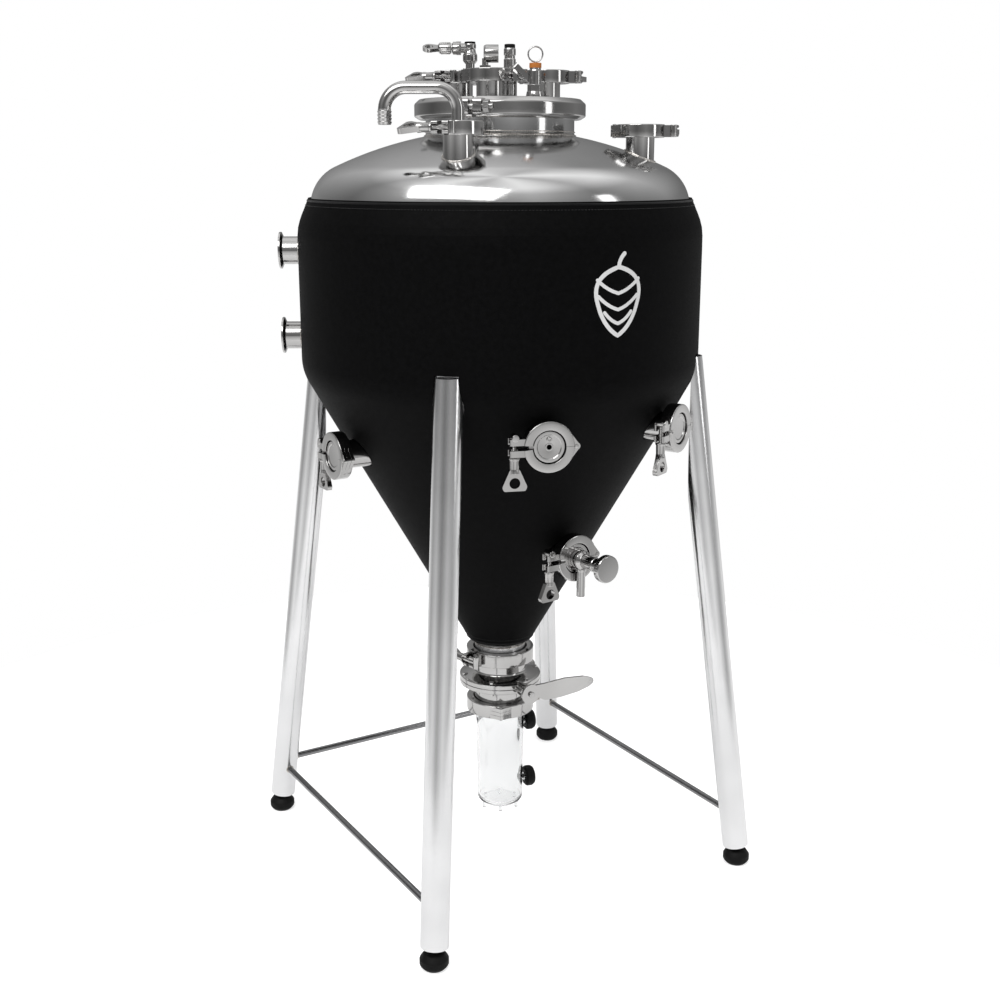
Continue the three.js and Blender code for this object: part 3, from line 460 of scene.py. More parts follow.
POLISHED = steel("steel_polished", (0.40, 0.395, 0.39), (0.50, 0.495, 0.49), 0.07, 0.14, (260, 260, 260),
                 0.12)
MIRROR = steel("steel_mirror", (0.66, 0.66, 0.66), (0.74, 0.74, 0.74), 0.05, 0.09, (60, 60, 60), 0.05)
ROD = steel("steel_rod", (0.20, 0.20, 0.205), (0.28, 0.28, 0.285), 0.18, 0.28, (300, 300, 300), 0.3)
DOME = steel("steel_dome", (0.50, 0.50, 0.50), (0.58, 0.58, 0.58), 0.11, 0.15, (60, 60, 60), 0.05)
SATIN = steel("steel_satin", (0.66, 0.66, 0.665), (0.76, 0.76, 0.765), 0.16, 0.26, (2400, 2400, 26), 0.35)
BRUSHED = steel("steel_brushed", (0.55, 0.55, 0.555), (0.68, 0.68, 0.685), 0.24, 0.36, (300, 300, 3200), 0.35)
WELD = steel("steel_weld", (0.50, 0.46, 0.41), (0.70, 0.68, 0.66), 0.18, 0.34, (700, 700, 700), 0.6)
NEOPRENE = neoprene()
THREAD = plastic("stitch_thread", (0.004, 0.004, 0.0045), (0.009, 0.009, 0.0095), 0.6, 0.5, 900, 0.2, 0.2)
BINDING = plastic("binding_tape", (0.002, 0.002, 0.0022), (0.005, 0.005, 0.0053), 0.7, 0.6, 1100, 0.1, 0.1)
RUBBER = plastic("black_rubber", (0.003, 0.003, 0.003), (0.007, 0.007, 0.007), 0.55, 0.4, 420, shine=0.15)
SILICONE = plastic("white_silicone", (0.70, 0.70, 0.68), (0.80, 0.80, 0.78), 0.5, 0.2, 300)
CLEAR = clear_plastic()
PRINT = plastic("white_print", (0.68, 0.68, 0.68), (0.78, 0.78, 0.78), 0.6, 0.3, 900)
COPPER = plastic("orange_seal", (0.42, 0.13, 0.015), (0.55, 0.19, 0.03), 0.4, 0.2, 300)
DIAL = plastic("dial_white", (0.78, 0.78, 0.76), (0.84, 0.84, 0.82), 0.4, 0.1, 200)
RED = plastic("pointer_red", (0.48, 0.02, 0.015), (0.58, 0.03, 0.02), 0.35, 0.1, 300)
INK = plastic("dial_ink", (0.01, 0.01, 0.01), (0.02, 0.02, 0.02), 0.5, 0.1, 300)


# --- Making pieces ---
SHARP_ANGLE = math.radians(38)
BEVEL_ANGLE = math.radians(40)
MERGE_DISTANCE = 0.00001


def make(name, shape, materials, body, replaces=(), bevel=0.0, cutters=()):
    """Turns a shape into an object that rides on a CAD body."""
    mesh = bpy.data.meshes.new(name)
    mesh.from_pydata([point * MM for point in shape.points], [], shape.faces)
    for polygon, number in zip(mesh.polygons, shape.numbers):
        polygon.material_index = number
    for material in materials:
        mesh.materials.append(material)
    tidy = bmesh.new()
    tidy.from_mesh(mesh)
    bmesh.ops.remove_doubles(tidy, verts=tidy.verts, dist=MERGE_DISTANCE)
    bmesh.ops.recalc_face_normals(tidy, faces=tidy.faces)
    tidy.to_mesh(mesh)
    tidy.free()
    obj = bpy.data.objects.new(name, mesh)
    bpy.context.scene.collection.objects.link(obj)
    for cutter in cutters:
        carve(obj, cutter)
    if bevel:
        soften = obj.modifiers.new("soft_edges", "BEVEL")
        soften.width = bevel * MM
        soften.segments = 2
        soften.limit_method = "ANGLE"
        soften.angle_limit = BEVEL_ANGLE
        soften.harden_normals = False
    obj.data.polygons.foreach_set("use_smooth", [True] * len(obj.data.polygons))
    obj.data.set_sharp_from_angle(angle=SHARP_ANGLE)
    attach(obj, body)
    if replaces:
        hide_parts(*replaces)
    return obj


def carve(obj, shape):
    """Cuts a closed shape out of an object."""
    mesh = bpy.data.meshes.new("cutter")
    mesh.from_pydata([point * MM for point in shape.points], [], shape.faces)
    tidy = bmesh.new()
    tidy.from_mesh(mesh)
    bmesh.ops.recalc_face_normals(tidy, faces=tidy.faces)
    tidy.to_mesh(mesh)
    tidy.free()
    cutter = bpy.data.objects.new("cutter", mesh)
    bpy.context.scene.collection.objects.link(cutter)
    cut = obj.modifiers.new("cut", "BOOLEAN")
    cut.object = cutter
    cut.operation = "DIFFERENCE"
    cut.solver = "EXACT"
    bpy.context.view_layer.update()
    result = bpy.data.meshes.new_from_object(obj.evaluated_get(bpy.context.evaluated_depsgraph_get()))
    obj.modifiers.remove(cut)
    obj.data = result
    bpy.data.objects.remove(cutter)
    bpy.data.meshes.remove(mesh)


# --- Sanitary fittings, in a port's own frame ---
EYE_AT = 44.8
EYE_R = 6.9


def ferrule_profile(size, length):
    return rounded([
        (size["bore"], -FIT_GAP), (size["flange"], -FIT_GAP), (size["flange"], -size["rim"]),
        (size["tube"], -size["taper"], 1.2), (size["tube"], -length), (size["bore"], -length),
    ], 0.5)


def cap_profile(size):
    """A blank cap: a disc with a ferrule's edge and a shallow dished back."""
    tube, top = size["tube"], 6.4
    return rounded([
        (0, FIT_GAP), (size["flange"], FIT_GAP), (size["flange"], size["rim"]),
        (tube + 1.6, size["taper"] - 0.4), (tube + 0.6, top), (tube - 3.2, top), (tube - 4.4, top - 0.9),
        (0, top - 0.9),
    ], 0.5, closed=False)


def drill(shape, port, low, high, radius=PORT["bore"] - 0.05):
    """A round cutter through a port, between two heights in its frame."""
    shape.rod(radius, (0, 0, low), (0, 0, high), place=port, steps=FITTING_STEPS)


def weld_ring(shape, radius, z_at, bead=1.5, place=None, steps=120):
    """A rippled weld bead round a tube; z_at gives the height of the surface at an angle."""
    path = []
    ripples, waves = 17, 29
    for angle in full_turn(steps):
        r = radius + 0.25 * math.sin(ripples * angle)
        z = z_at(angle) + 0.15 * math.sin(waves * angle)
        path.append((r * math.cos(angle), r * math.sin(angle), z))
    shape.tube(path, bead, place, steps=10, number=WELD_NUMBER)


def threaded(radius, start, end):
    """The profile of a threaded bar, as rings with a V-shaped edge."""
    pitch, depth = 1.25, 0.5
    profile = [(0, start)]
    for i in range(int((end - start) / pitch)):
        z = start + i * pitch
        profile += [(radius - depth, z), (radius, z + pitch / 2)]
    return profile + [(radius - depth, end), (0, end)]


def clamp_shape(size, clamp, turn, side):
    """A hinged clamp: two band halves, a teardrop hinge on -X with its pin, and forked ears on +X."""
    shape = Shape()
    place = Matrix.Rotation(math.radians(turn), 4, "Z")
    outer, half, end = clamp["outer"], clamp["half"], clamp["end"]
    bolt_at, slot = clamp["bolt_at"], clamp["bolt"] + 0.9
    lip, groove = size["tube"] + 2.3, size["flange"] + 0.5
    ear_gap, ear_thickness, pin_r = 3.2, 8.2, 2.5
    band = rounded([
        (lip, -half), (outer, -half, 1.3), (outer, half, 1.3), (lip, half), (lip, half - 1.8), (groove, 3.6),
        (groove, -3.6), (lip, 1.8 - half),
    ], 0.6)
    gap = math.degrees(math.asin(ear_gap / outer))
    for start, stop in ((gap, 179.6), (180.4, 360 - gap)):
        shape.revolve(band, place, FITTING_STEPS, span=(start, stop))
    tip = outer + 2.6
    reach = math.degrees(math.acos(0.62))
    teardrop = arc(0, 0, outer - 3, 180 + reach, 180 - reach, 14) \
        + arc(0, 0, outer - 0.4, 180 - reach, 180 - reach + 8, 3) \
        + arc(-tip, 0, 4.6, 118, 242, 10) \
        + arc(0, 0, outer - 0.4, 180 + reach - 8, 180 + reach, 3)
    layer = (2 * half - 2) / 3
    for k in range(3):
        low = 1 - half + k * layer
        shape.prism(teardrop, low + 0.15, low + layer - 0.15, place)
    shape.rod(pin_r, (-tip + 0.4, 0, -half - 0.6), (-tip + 0.4, 0, half + 0.6), place=place, edge=0.7)
    fork = rounded([
        (outer - 4, 1 - half), (end - 1, 1 - half, 3), (end - 1, -slot), (bolt_at - 4.4, -slot, 2.5),
        (bolt_at - 4.4, slot, 2.5), (end - 1, slot), (end - 1, half - 1, 3), (outer - 4, half - 1),
    ], 0.8)
    for low in (-ear_gap - ear_thickness, ear_gap):
        shape.prism(fork, low, low + ear_thickness, place @ ON_EDGE)
    far = -side * 12.6
    shape.rod(4.6, (bolt_at, far, -half + 0.6), (bolt_at, far, half - 0.6), place=place, edge=0.8)
    return shape


def eye_nut_shape(clamp, side, turn, roll=0.0):
    """A swing bolt with an eye nut: a threaded bar, a flared stem and a triangular eye."""
    shape = Shape()
    place = Matrix.Rotation(math.radians(turn), 4, "Z") @ Matrix.Translation((clamp["bolt_at"], 0, 0)) \
        @ Matrix.Rotation(math.radians(roll), 4, "Y")
    bolt = place @ Matrix.Rotation(math.radians(-90 * side), 4, "X")
    shape.revolve(threaded(clamp["bolt"], -9, 20), bolt, 20)
    stem = [(0, 12.4), (7.2, 12.4), (7.2, 14.6), (6.1, 16), (5.8, 27), (6.6, 33), (0, 33)]
    shape.turn(stem, 0.7, bolt, 32)
    eye = [(-6.4, 28), (6.4, 28), (16.2, 50, 6), (13.6, 55, 3), (-13.6, 55, 3), (-16.2, 50, 6)]
    outline = [(x, y * side) for x, y in rounded(eye, 2, steps=6)]
    shape.prism(outline, -3.4, 3.4, place, holes=[circle(0, EYE_AT * side, EYE_R, 40)])
    return shape


def add_clamp(name, port, size, clamp, turn, side, own_nut, roll=0):
    """Makes a clamp with its nut; the nut is its own piece where the frame lets it turn."""
    shape = clamp_shape(size, clamp, turn, side).placed(port)
    nut = eye_nut_shape(clamp, side, turn, roll).placed(port)
    if own_nut:
        body = f"{name}_clamp_nut"
        make(f"{name}_eye_nut", nut, [POLISHED], body, [body], bevel=0.8)
    else:
        shape.add(nut.points, nut.faces)
    make(f"{name}_band", shape, [POLISHED], "vessel", [f"{name}_clamp"], bevel=0.5)


def add_gasket(name, port, size):
    bore, edge = size["bore"], size["flange"] - 1
    ring = Shape().turn([(bore, -FIT_GAP), (edge, -FIT_GAP), (edge, FIT_GAP), (bore, FIT_GAP)], 0.1, port,
                        closed=True)
    make(f"{name}_gasket", ring, [SILICONE], "vessel")


# --- Vessel ---
WALL = 2
TANK_R = corners("tank_wall")[1].y
HEAD_TANGENT_Z = corners("tank_wall")[1].z
NECK_FACE_Z = corners("tank_dome")[1].z
NECK = {"outer": 101.6, "bore": 99.6, "flange": 108.5}
CROWN_R = 536
KNUCKLE_R = 60
CONE_SLOPE = 0.5687
CONE_REF_R, CONE_REF_Z = 49.1, 342.2
NECK_SEAM_Z = 1058.2
FERRULE_LENGTH = {"head": 46, "cone": 60, "jacket": 35.5}


def head_section(offset, inner_r, steps):
    """Half section of the dished head: crown arc, then knuckle arc."""
    crown, knuckle = CROWN_R - offset, KNUCKLE_R - offset
    knuckle_at = TANK_R - KNUCKLE_R
    between = CROWN_R - KNUCKLE_R
    crown_z = HEAD_TANGENT_Z - math.sqrt(between ** 2 - knuckle_at ** 2)
    tangent = math.degrees(math.acos(knuckle_at / between))
    start = math.degrees(math.acos(inner_r / crown))
    return arc(0, crown_z, crown, start, tangent, steps) \
        + arc(knuckle_at, HEAD_TANGENT_Z, knuckle, tangent, 0, steps)[1:]


def head_height(r):
    """Height of the head's outside at a radius."""
    points = head_section(0, 90, 60)
    for (r0, z0), (r1, z1) in zip(points, points[1:]):
        if r0 <= r <= r1:
            return z0 + (z1 - z0) * (r - r0) / (r1 - r0)
    return points[-1][1]


def inside_head():
    inner = head_section(WALL, 2, 30)
    return Shape().revolve([(0, HEAD_TANGENT_Z - 60), (TANK_R - WALL, HEAD_TANGENT_Z - 60)]
                           + inner[::-1] + [(0, inner[0][1])], steps=96)


def under_ferrule(port):
    """Gives the height of the head round a ferrule, by angle, in the ferrule's own frame."""
    centre = port.translation
    beside = PORT["tube"] + 1

    def height(angle):
        x = centre.x + beside * math.cos(angle + CLOCK)
        y = centre.y + beside * math.sin(angle + CLOCK)
        return head_height(math.hypot(x, y)) - centre.z + 0.2

    return height


def build_head():
    outer = head_section(0, NECK["outer"] + 3, 28)
    inner = head_section(WALL, NECK["bore"], 28)
    neck = [(NECK["bore"], NECK_FACE_Z), (NECK["flange"], NECK_FACE_Z), (NECK["flange"], NECK_FACE_Z - 4.4),
            (NECK["outer"], NECK_FACE_Z - 10, 2), (NECK["outer"], outer[0][1] + 3.5, 3)]
    shape = Shape().revolve(rounded(neck, 0.6, closed=False) + outer + inner[::-1], steps=SHELL_STEPS)
    for bead_r, z in ((NECK["outer"] + 0.2, NECK_SEAM_Z), (NECK["outer"] + 1.5, outer[0][1] + 1)):
        weld_ring(shape, bead_r, lambda angle, z=z: z, 0.9)
    tubes, bores = Shape(), Shape()
    for port in (CANE_PORT, HEAD_BLANK_PORT):
        tubes.revolve(ferrule_profile(PORT, FERRULE_LENGTH["head"]), port)
        weld_ring(tubes, PORT["tube"] + 0.9, under_ferrule(port), place=port, steps=96)
        drill(bores, port, -110, -30)
    make("dished_head", shape, [DOME, WELD], "vessel", ["tank_dome"], cutters=[bores])
    make("head_ferrules", tubes, [POLISHED, WELD], "vessel", cutters=[inside_head()])


def cone_r(z):
    return CONE_REF_R + (z - CONE_REF_Z) * CONE_SLOPE


def cone_z(r):
    return CONE_REF_Z + (r - CONE_REF_R) / CONE_SLOPE


def cone_knuckle(r, z, radius, count=12):
    """Rounded corner between an upright wall and the cone."""
    half = math.atan(CONE_SLOPE)
    return arc(r - radius, z + radius * math.tan(half / 2), radius, 0, -math.degrees(half), count)


SIDE_PORTS = [THERMOWELL_PORT, CONE_BLANK_PORT, SIDE_BLANK_PORT, SAMPLE_PORT]


def build_cone():
    flange = DUMP_FACE_Z + FIT_GAP
    along = WALL * math.sqrt(1 + CONE_SLOPE ** 2)
    outer = cone_knuckle(TANK_R, cone_z(TANK_R), 60)
    inner = cone_knuckle(TANK_R - WALL, cone_z(TANK_R - WALL + along), 58)
    top = corners("tank_cone")[1].z
    spout = rounded([
        outer[-1], (DUMP["tube"], cone_z(DUMP["tube"]), 3), (DUMP["tube"], DUMP_FACE_Z + DUMP["taper"], 1),
        (DUMP["flange"], DUMP_FACE_Z + DUMP["rim"]), (DUMP["flange"], flange), (DUMP["bore"], flange),
        (DUMP["bore"], cone_z(DUMP["bore"] + along)), inner[-1],
    ], 0.5, closed=False)
    profile = [(TANK_R, top)] + outer + spout[1:] + inner[::-1][1:] + [(TANK_R - WALL, top)]
    shape = Shape().revolve(profile, steps=SHELL_STEPS)
    weld_ring(shape, DUMP["tube"] + 0.4, lambda angle: cone_z(DUMP["tube"]) - 1.5, 0.9)
    bores, tubes = Shape(), Shape()
    for port in SIDE_PORTS:
        drill(bores, port, -110, 2)
        tubes.revolve(ferrule_profile(PORT, FERRULE_LENGTH["cone"]), port)
    hollow = Shape().revolve([(0, top + 40), (TANK_R - WALL, top + 40), (TANK_R - WALL, top)] + inner[1:]
                             + [(cone_r(330) - along, 330), (0, 330)], steps=96)
    make("cone_shell", shape, [BRUSHED, WELD], "vessel", ["tank_cone"], cutters=[bores])
    make("cone_ferrules", tubes, [POLISHED], "vessel", cutters=[hollow])


COOLING_R = TANK_R + 13.1
COOLING_WALL = 1.5


def build_cooling_shell():
    low = corners("cooling_jacket")[0].z
    inside_r = COOLING_R - COOLING_WALL
    skin = cone_knuckle(COOLING_R, cone_z(COOLING_R), 60)
    inside = cone_knuckle(inside_r, cone_z(COOLING_R) + 0.2, 58.5)
    shoulder = rounded([(TANK_R + 0.4, 962.5), (COOLING_R, 930, 12), skin[0]], 1, closed=False)
    profile = shoulder[:-1] + skin + [(cone_r(low + 3.4), low + 3.4), (cone_r(low) + 0.3, low)] \
        + inside[::-1] + [(inside_r, 929.6), (TANK_R + 0.4, 958.8)]
    shape = Shape().revolve(profile, steps=SHELL_STEPS)
    tubes, bores = Shape(), Shape()
    for port in COOLANT_PORTS:
        drill(bores, port, -44, 2)
        tubes.revolve(ferrule_profile(PORT, FERRULE_LENGTH["jacket"]), port)
        weld_ring(tubes, PORT["tube"] + 0.8, lambda angle: -27.6, 1.4, port, 96)
    make("cooling_shell", shape, [SATIN], "vessel", ["cooling_jacket"], cutters=[bores])
    make("coolant_ferrules", tubes, [POLISHED, WELD], "vessel")


# --- Legs and feet ---
LEGS = ["front_left", "front_right", "back_right", "back_left"]
LEG_R = 19.05
LEG_LEAN = 0.1312
FOOT_DATUM_Z = 14


def leg_point(place, z):
    """A point of a leg's centre line at a height."""
    foot = middle(f"foot_{place}")
    outward = Vector((foot.x, foot.y, 0)).normalized()
    r = math.hypot(foot.x, foot.y) - (z - FOOT_DATUM_Z) * LEG_LEAN
    return outward * r + Vector((0, 0, z))


def build_leg(place):
    low, high = corners(f"leg_{place}")
    start, end = leg_point(place, low.z + 3), leg_point(place, high.z + 30)
    shape = Shape().tube([start, (start + end) / 2, end], LEG_R, steps=64, inner=LEG_R - 1.7)
    wide = [(-400, -400), (400, -400), (400, 400), (-400, 400)]
    above = Shape().prism(wide, high.z, high.z + 200)
    clear_r = COOLING_R + FIT_GAP
    vessel = Shape().revolve([(0, 400), (clear_r, 400), (clear_r, 900), (0, 900)], steps=SHELL_STEPS)
    make(f"leg_tube_{place}", shape, [SATIN], "vessel", [f"leg_{place}"],
         cutters=[above, vessel])
    plug = [(5.6, 1), (13, 1, 1.5), (LEG_R - 0.4, 6.2, 1.5), (LEG_R - 0.4, 9), (LEG_R - 2, 9),
            (LEG_R - 2, 14), (5.6, 14)]
    seat = Matrix.Translation(leg_point(place, low.z - 2)) @ facing((end - start).normalized())
    make(f"leg_plug_{place}", Shape().turn(plug, 0.5, seat, closed=True), [SATIN], "vessel")


def build_foot(place):
    low, high = corners(f"foot_{place}")
    centre = middle(f"foot_{place}")
    here = Matrix.Translation((centre.x, centre.y, 0))
    r = (high.x - low.x) / 2
    pad = [(0, 0), (r - 4.5, 0, 2), (r, 5, 5), (r, 14, 4), (r - 5, 21, 3), (6, 22.5), (6, 24), (0, 24)]
    shape = Shape().turn(pad, 1, here, 64)
    for k in range(4):
        groove = [(math.cos(t) * (r - 0.15), math.sin(t) * (r - 0.15), 6.5 + 2.2 * k) for t in full_turn(64)]
        shape.tube(groove, 0.45, here, steps=8)
    stud = [(0, 22), *threaded(5, 23, 46)[1:-1], (0, 46)]
    shape.revolve(stud, here, 24, number=1)
    node = f"foot_{place}"
    make(f"rubber_foot_{place}", shape, [RUBBER, POLISHED], node, [node])


def build_stretcher(name, first, second):
    low, high = corners(name)
    z = (low.z + high.z) / 2
    start, end = leg_point(first, z), leg_point(second, z)
    along = (end - start).normalized()
    shape = Shape().rod(4.8, start + along * (LEG_R - 0.5), end - along * (LEG_R - 0.5))
    for point, way in ((start, along), (end, -along)):
        place = Matrix.Translation(point + way * (LEG_R - 0.2)) @ facing(way)
        weld_ring(shape, 5.1, lambda angle: 0, 1.1, place, 48)
    make(f"{name}_rod", shape, [ROD, WELD], "vessel", [name])


# --- Neoprene cover ---
COVER_LOW, COVER_HIGH = corners("neoprene_jacket")
COVER_R = COVER_HIGH.x
COVER_IN_R = COVER_R - 5.3
COVER_ON_CONE = 6.1
COVER_CLEARANCE = 1.0
BACK = math.pi / 2


def cover_outside():
    """The cover's outer line from the top hem down to the bottom hem."""
    corner_z = CONE_REF_Z + (COVER_R - CONE_REF_R - COVER_ON_CONE) / CONE_SLOPE
    shoulder = [(TANK_R + 2.6, COVER_HIGH.z), (265.8, 966.2), (269.1, 958.4), (272.7, 950.4), (275.9, 942),
                (278.4, 933), (COVER_R - 0.2, 922), (COVER_R, 905)]
    foot = (cone_r(COVER_LOW.z) + COVER_ON_CONE, COVER_LOW.z)
    return shoulder + cone_knuckle(COVER_R, corner_z, 66, 16) + [foot]


def cover_inside():
    corner_z = CONE_REF_Z + (COVER_IN_R - CONE_REF_R - 0.4) / CONE_SLOPE
    return [(TANK_R + 0.9, COVER_HIGH.z - 1), (TANK_R + 0.9, 963.6), (COVER_IN_R, 931)] \
        + cone_knuckle(COVER_IN_R, corner_z, 60.4, 12) + [(cone_r(COVER_LOW.z) + 0.5, COVER_LOW.z)]


def outside_radius(z):
    """The cover's outer radius at a height."""
    line = cover_outside()
    for (r0, z0), (r1, z1) in zip(line, line[1:]):
        if z1 <= z <= z0:
            return r0 + (r1 - r0) * (z0 - z) / (z0 - z1)
    return line[-1][0]


def dense(line):
    """Adds points along a line, so that its stretches are near one step long."""
    step = 9.0
    result = [line[0]]
    for (r0, z0), (r1, z1) in zip(line, line[1:]):
        parts = max(1, round(math.hypot(r1 - r0, z1 - z0) / step))
        result += [(r0 + (r1 - r0) * k / parts, z0 + (z1 - z0) * k / parts) for k in range(1, parts + 1)]
    return result


def build_cover():
    profile = dense(rounded(cover_outside(), 2, closed=False, steps=3)) + cover_inside()[::-1]
    shape = Shape().revolve(profile, steps=192)
    ports = Shape()
    for port in SIDE_PORTS + COOLANT_PORTS:
        drill(ports, port, -80, 40, PORT["tube"] + COVER_CLEARANCE)
    legs = []
    for place in LEGS:
        end = leg_point(place, corners(f"leg_{place}")[1].z + 1.2)
        path = [leg_point(place, 300), leg_point(place, 500), end]
        legs.append(Shape().tube(path, LEG_R + COVER_CLEARANCE, steps=64))
    return make("neoprene_cover", shape, [NEOPRENE], "vessel", ["neoprene_jacket"],
                cutters=[ports, *legs])


def ring_path(z, lift):
    """A level ring round the cover at a height."""
    r = outside_radius(z) + lift
    return [(r * math.cos(t), r * math.sin(t), z) for t in full_turn(200)]


def build_hems():
    tape = Shape()
    for z in (COVER_HIGH.z - 3.5, COVER_LOW.z + 4):
        tape.tube(ring_path(z, -0.9), 1.7, steps=10)
    return make("cover_hems", tape, [BINDING], "vessel")


def build_flap():
    """The closing flap, a strip down the cover's back: a row of points every few millimetres."""
    pitch, half_width, sunk = 6, 13, 2
    height = COVER_HIGH.z - COVER_LOW.z - 2 * pitch
    edge = ((-1, 0.1), (-0.94, 1.3), (0.94, 1.3), (1, 0.1))
    front, back = [], []
    for k in range(int(height / pitch)):
        z = COVER_HIGH.z - pitch - pitch * k
        r = outside_radius(z)
        row = [(r + lift, BACK + side * half_width / r) for side, lift in edge]
        front += [(radius * math.cos(a), radius * math.sin(a), z) for radius, a in row]
        back += [((radius - sunk) * math.cos(a), (radius - sunk) * math.sin(a), z)
                 for radius, a in (row[0], row[-1])]
    base = len(front)
    count = base // 4
    starts = [4 * i + j for i in range(count - 1) for j in range(3)]
    faces = [[start, start + 1, start + 5, start + 4] for start in starts]
    for i in range(count - 1):
        a, b = base + 2 * i, base + 2 * i + 1
        faces += [[a, b, b + 2, a + 2], [4 * i, a, a + 2, 4 * i + 4], [4 * i + 3, 4 * i + 7, b + 2, b]]
    last, last_back = base - 1, base + 2 * count - 1
    faces.append([0, 1, 2, 3, base + 1, base])
    faces.append([last - 3, last_back - 1, last_back, last, last - 1, last - 2])
    flap = Shape().add(front + back, faces)
    return make("cover_closing_flap", flap, [BINDING], "vessel")


def build_stitches():
    """Two rows of stitches round the hems, and one down each side of the closing flap."""
    shape = Shape()
    pitch, drawn, thread_r = 4.4, 0.62, 0.36
    for z in (COVER_HIGH.z - 9.5, COVER_LOW.z + 10):
        r = outside_radius(z) + 0.15
        count = int(2 * math.pi * r / pitch)
        for k in range(count):
            start, end = 2 * math.pi * k / count, 2 * math.pi * (k + drawn) / count
            bends = ((start, r - 0.4), ((start + end) / 2, r + 0.2), (end, r - 0.4))
            line = [(reach * math.cos(a), reach * math.sin(a), z) for a, reach in bends]
            shape.tube(line, thread_r, steps=6)
    for side in (-1, 1):
        z = COVER_HIGH.z - 10
        while z > COVER_LOW.z + 14:
            ends = []
            for height, lift in ((z, 0.9), (z - 1.4, 1.5), (z - 2.8, 0.9)):
                r = outside_radius(height) + lift
                angle = BACK + side * 9.5 / r
                ends.append((r * math.cos(angle), r * math.sin(angle), height))
            shape.tube(ends, thread_r, steps=6)
            z -= pitch
    return make("cover_stitches", shape, [THREAD], "vessel")


def on_cover(x, z, lift):
    """A point of the front of the cover, x to the right of the centre line."""
    r = outside_radius(z)
    angle = x / r
    return Vector(((r + lift) * math.sin(angle), -(r + lift) * math.cos(angle), z))


def stroke(shape, line, width):
    """A raised printed line on the cover, with round ends unless it is a closed loop."""
    lift, sunk = 0.35, -0.6
    left, right = [], []
    for i, point in enumerate(line):
        way = (line[min(i + 1, len(line) - 1)] - line[max(i - 1, 0)]).normalized()
        normal = Vector((-way.y, way.x))
        left.append(point + normal * width / 2)
        right.append(point - normal * width / 2)
    first, last = line[0], line[-1]
    if (first - last).length < 1e-6:
        count = len(line) - 1
        loops = left[:count], right[:count]
        faces = []
        for i in range(count):
            j = (i + 1) % count
            faces.append([i, j, count + j, count + i])
            faces.append([2 * count + i, 3 * count + i, 3 * count + j, 2 * count + j])
            faces.append([i, 2 * count + i, 2 * count + j, j])
            faces.append([count + i, count + j, 3 * count + j, 3 * count + i])
    else:
        start_way = math.degrees(math.atan2(line[1].y - first.y, line[1].x - first.x))
        end_way = math.degrees(math.atan2(last.y - line[-2].y, last.x - line[-2].x))
        head = [Vector(p) for p in arc(first.x, first.y, width / 2, start_way + 90, start_way + 270, 8)]
        tail = [Vector(p) for p in arc(last.x, last.y, width / 2, end_way - 90, end_way + 90, 8)]
        outline = head[1:-1] + right + tail[1:-1] + left[::-1]
        loops = (outline,)
        count = len(outline)
        caps = tessellate_polygon([[Vector((p.x, p.y, 0)) for p in outline]])
        faces = [list(face) for face in caps] + [[count + i for i in reversed(face)] for face in caps]
        faces += [[i, count + i, count + (i + 1) % count, (i + 1) % count] for i in range(count)]
    shape.add([on_cover(p.x, p.y, height) for height in (lift, sunk) for loop in loops for p in loop], faces)


def build_emblem():
    """A plain hop cone, drawn in one line weight."""
    shape = Shape()
    width, middle_z = 5.4, 858

    def curve(start, control, end):
        a, b, c = Vector(start), Vector(control), Vector(end)
        count = 14
        steps = [k / count for k in range(count + 1)]
        return [a * (1 - t) ** 2 + b * 2 * t * (1 - t) + c * t ** 2 for t in steps]

    def draw(points, weight):
        stroke(shape, [Vector((p[0], p[1] + middle_z)) for p in points], weight)

    right_side = curve((0, 36), (42, 26), (30, -8)) + curve((30, -8), (22, -36), (0, -48))[1:]
    left_side = [Vector((-p[0], p[1])) for p in reversed(right_side)]
    draw(right_side + left_side[1:], width)
    for top, reach, drop in ((18, 31, 14), (-2, 29, 14), (-22, 20, 11)):
        for side in (-1, 1):
            scale = curve((0, top - drop), (side * reach * 0.55, top - drop * 0.7), (side * reach, top + 3))
            draw(scale, width * 0.8)
    draw(curve((0, 38), (1, 46), (8, 52)), width)
    make("cover_emblem", shape, [PRINT], "vessel")


# --- Lid and its clamp ---
LID_BOTTOM_Z = corners("lid")[0].z
LID_TOP_Z = LID_BOTTOM_Z + 6.9
LID_CLAMP_TURN = CLOCK + math.radians(-17)
# Radius and thickness of the flange under each fitting screwed into the lid.
LID_BOSSES = {"gas_post": (19, 1.6), "relief_valve_body": (12, 1.6)}


def on_lid(node):
    point = middle(node)
    return upright_frame(point.x, point.y, LID_TOP_Z)


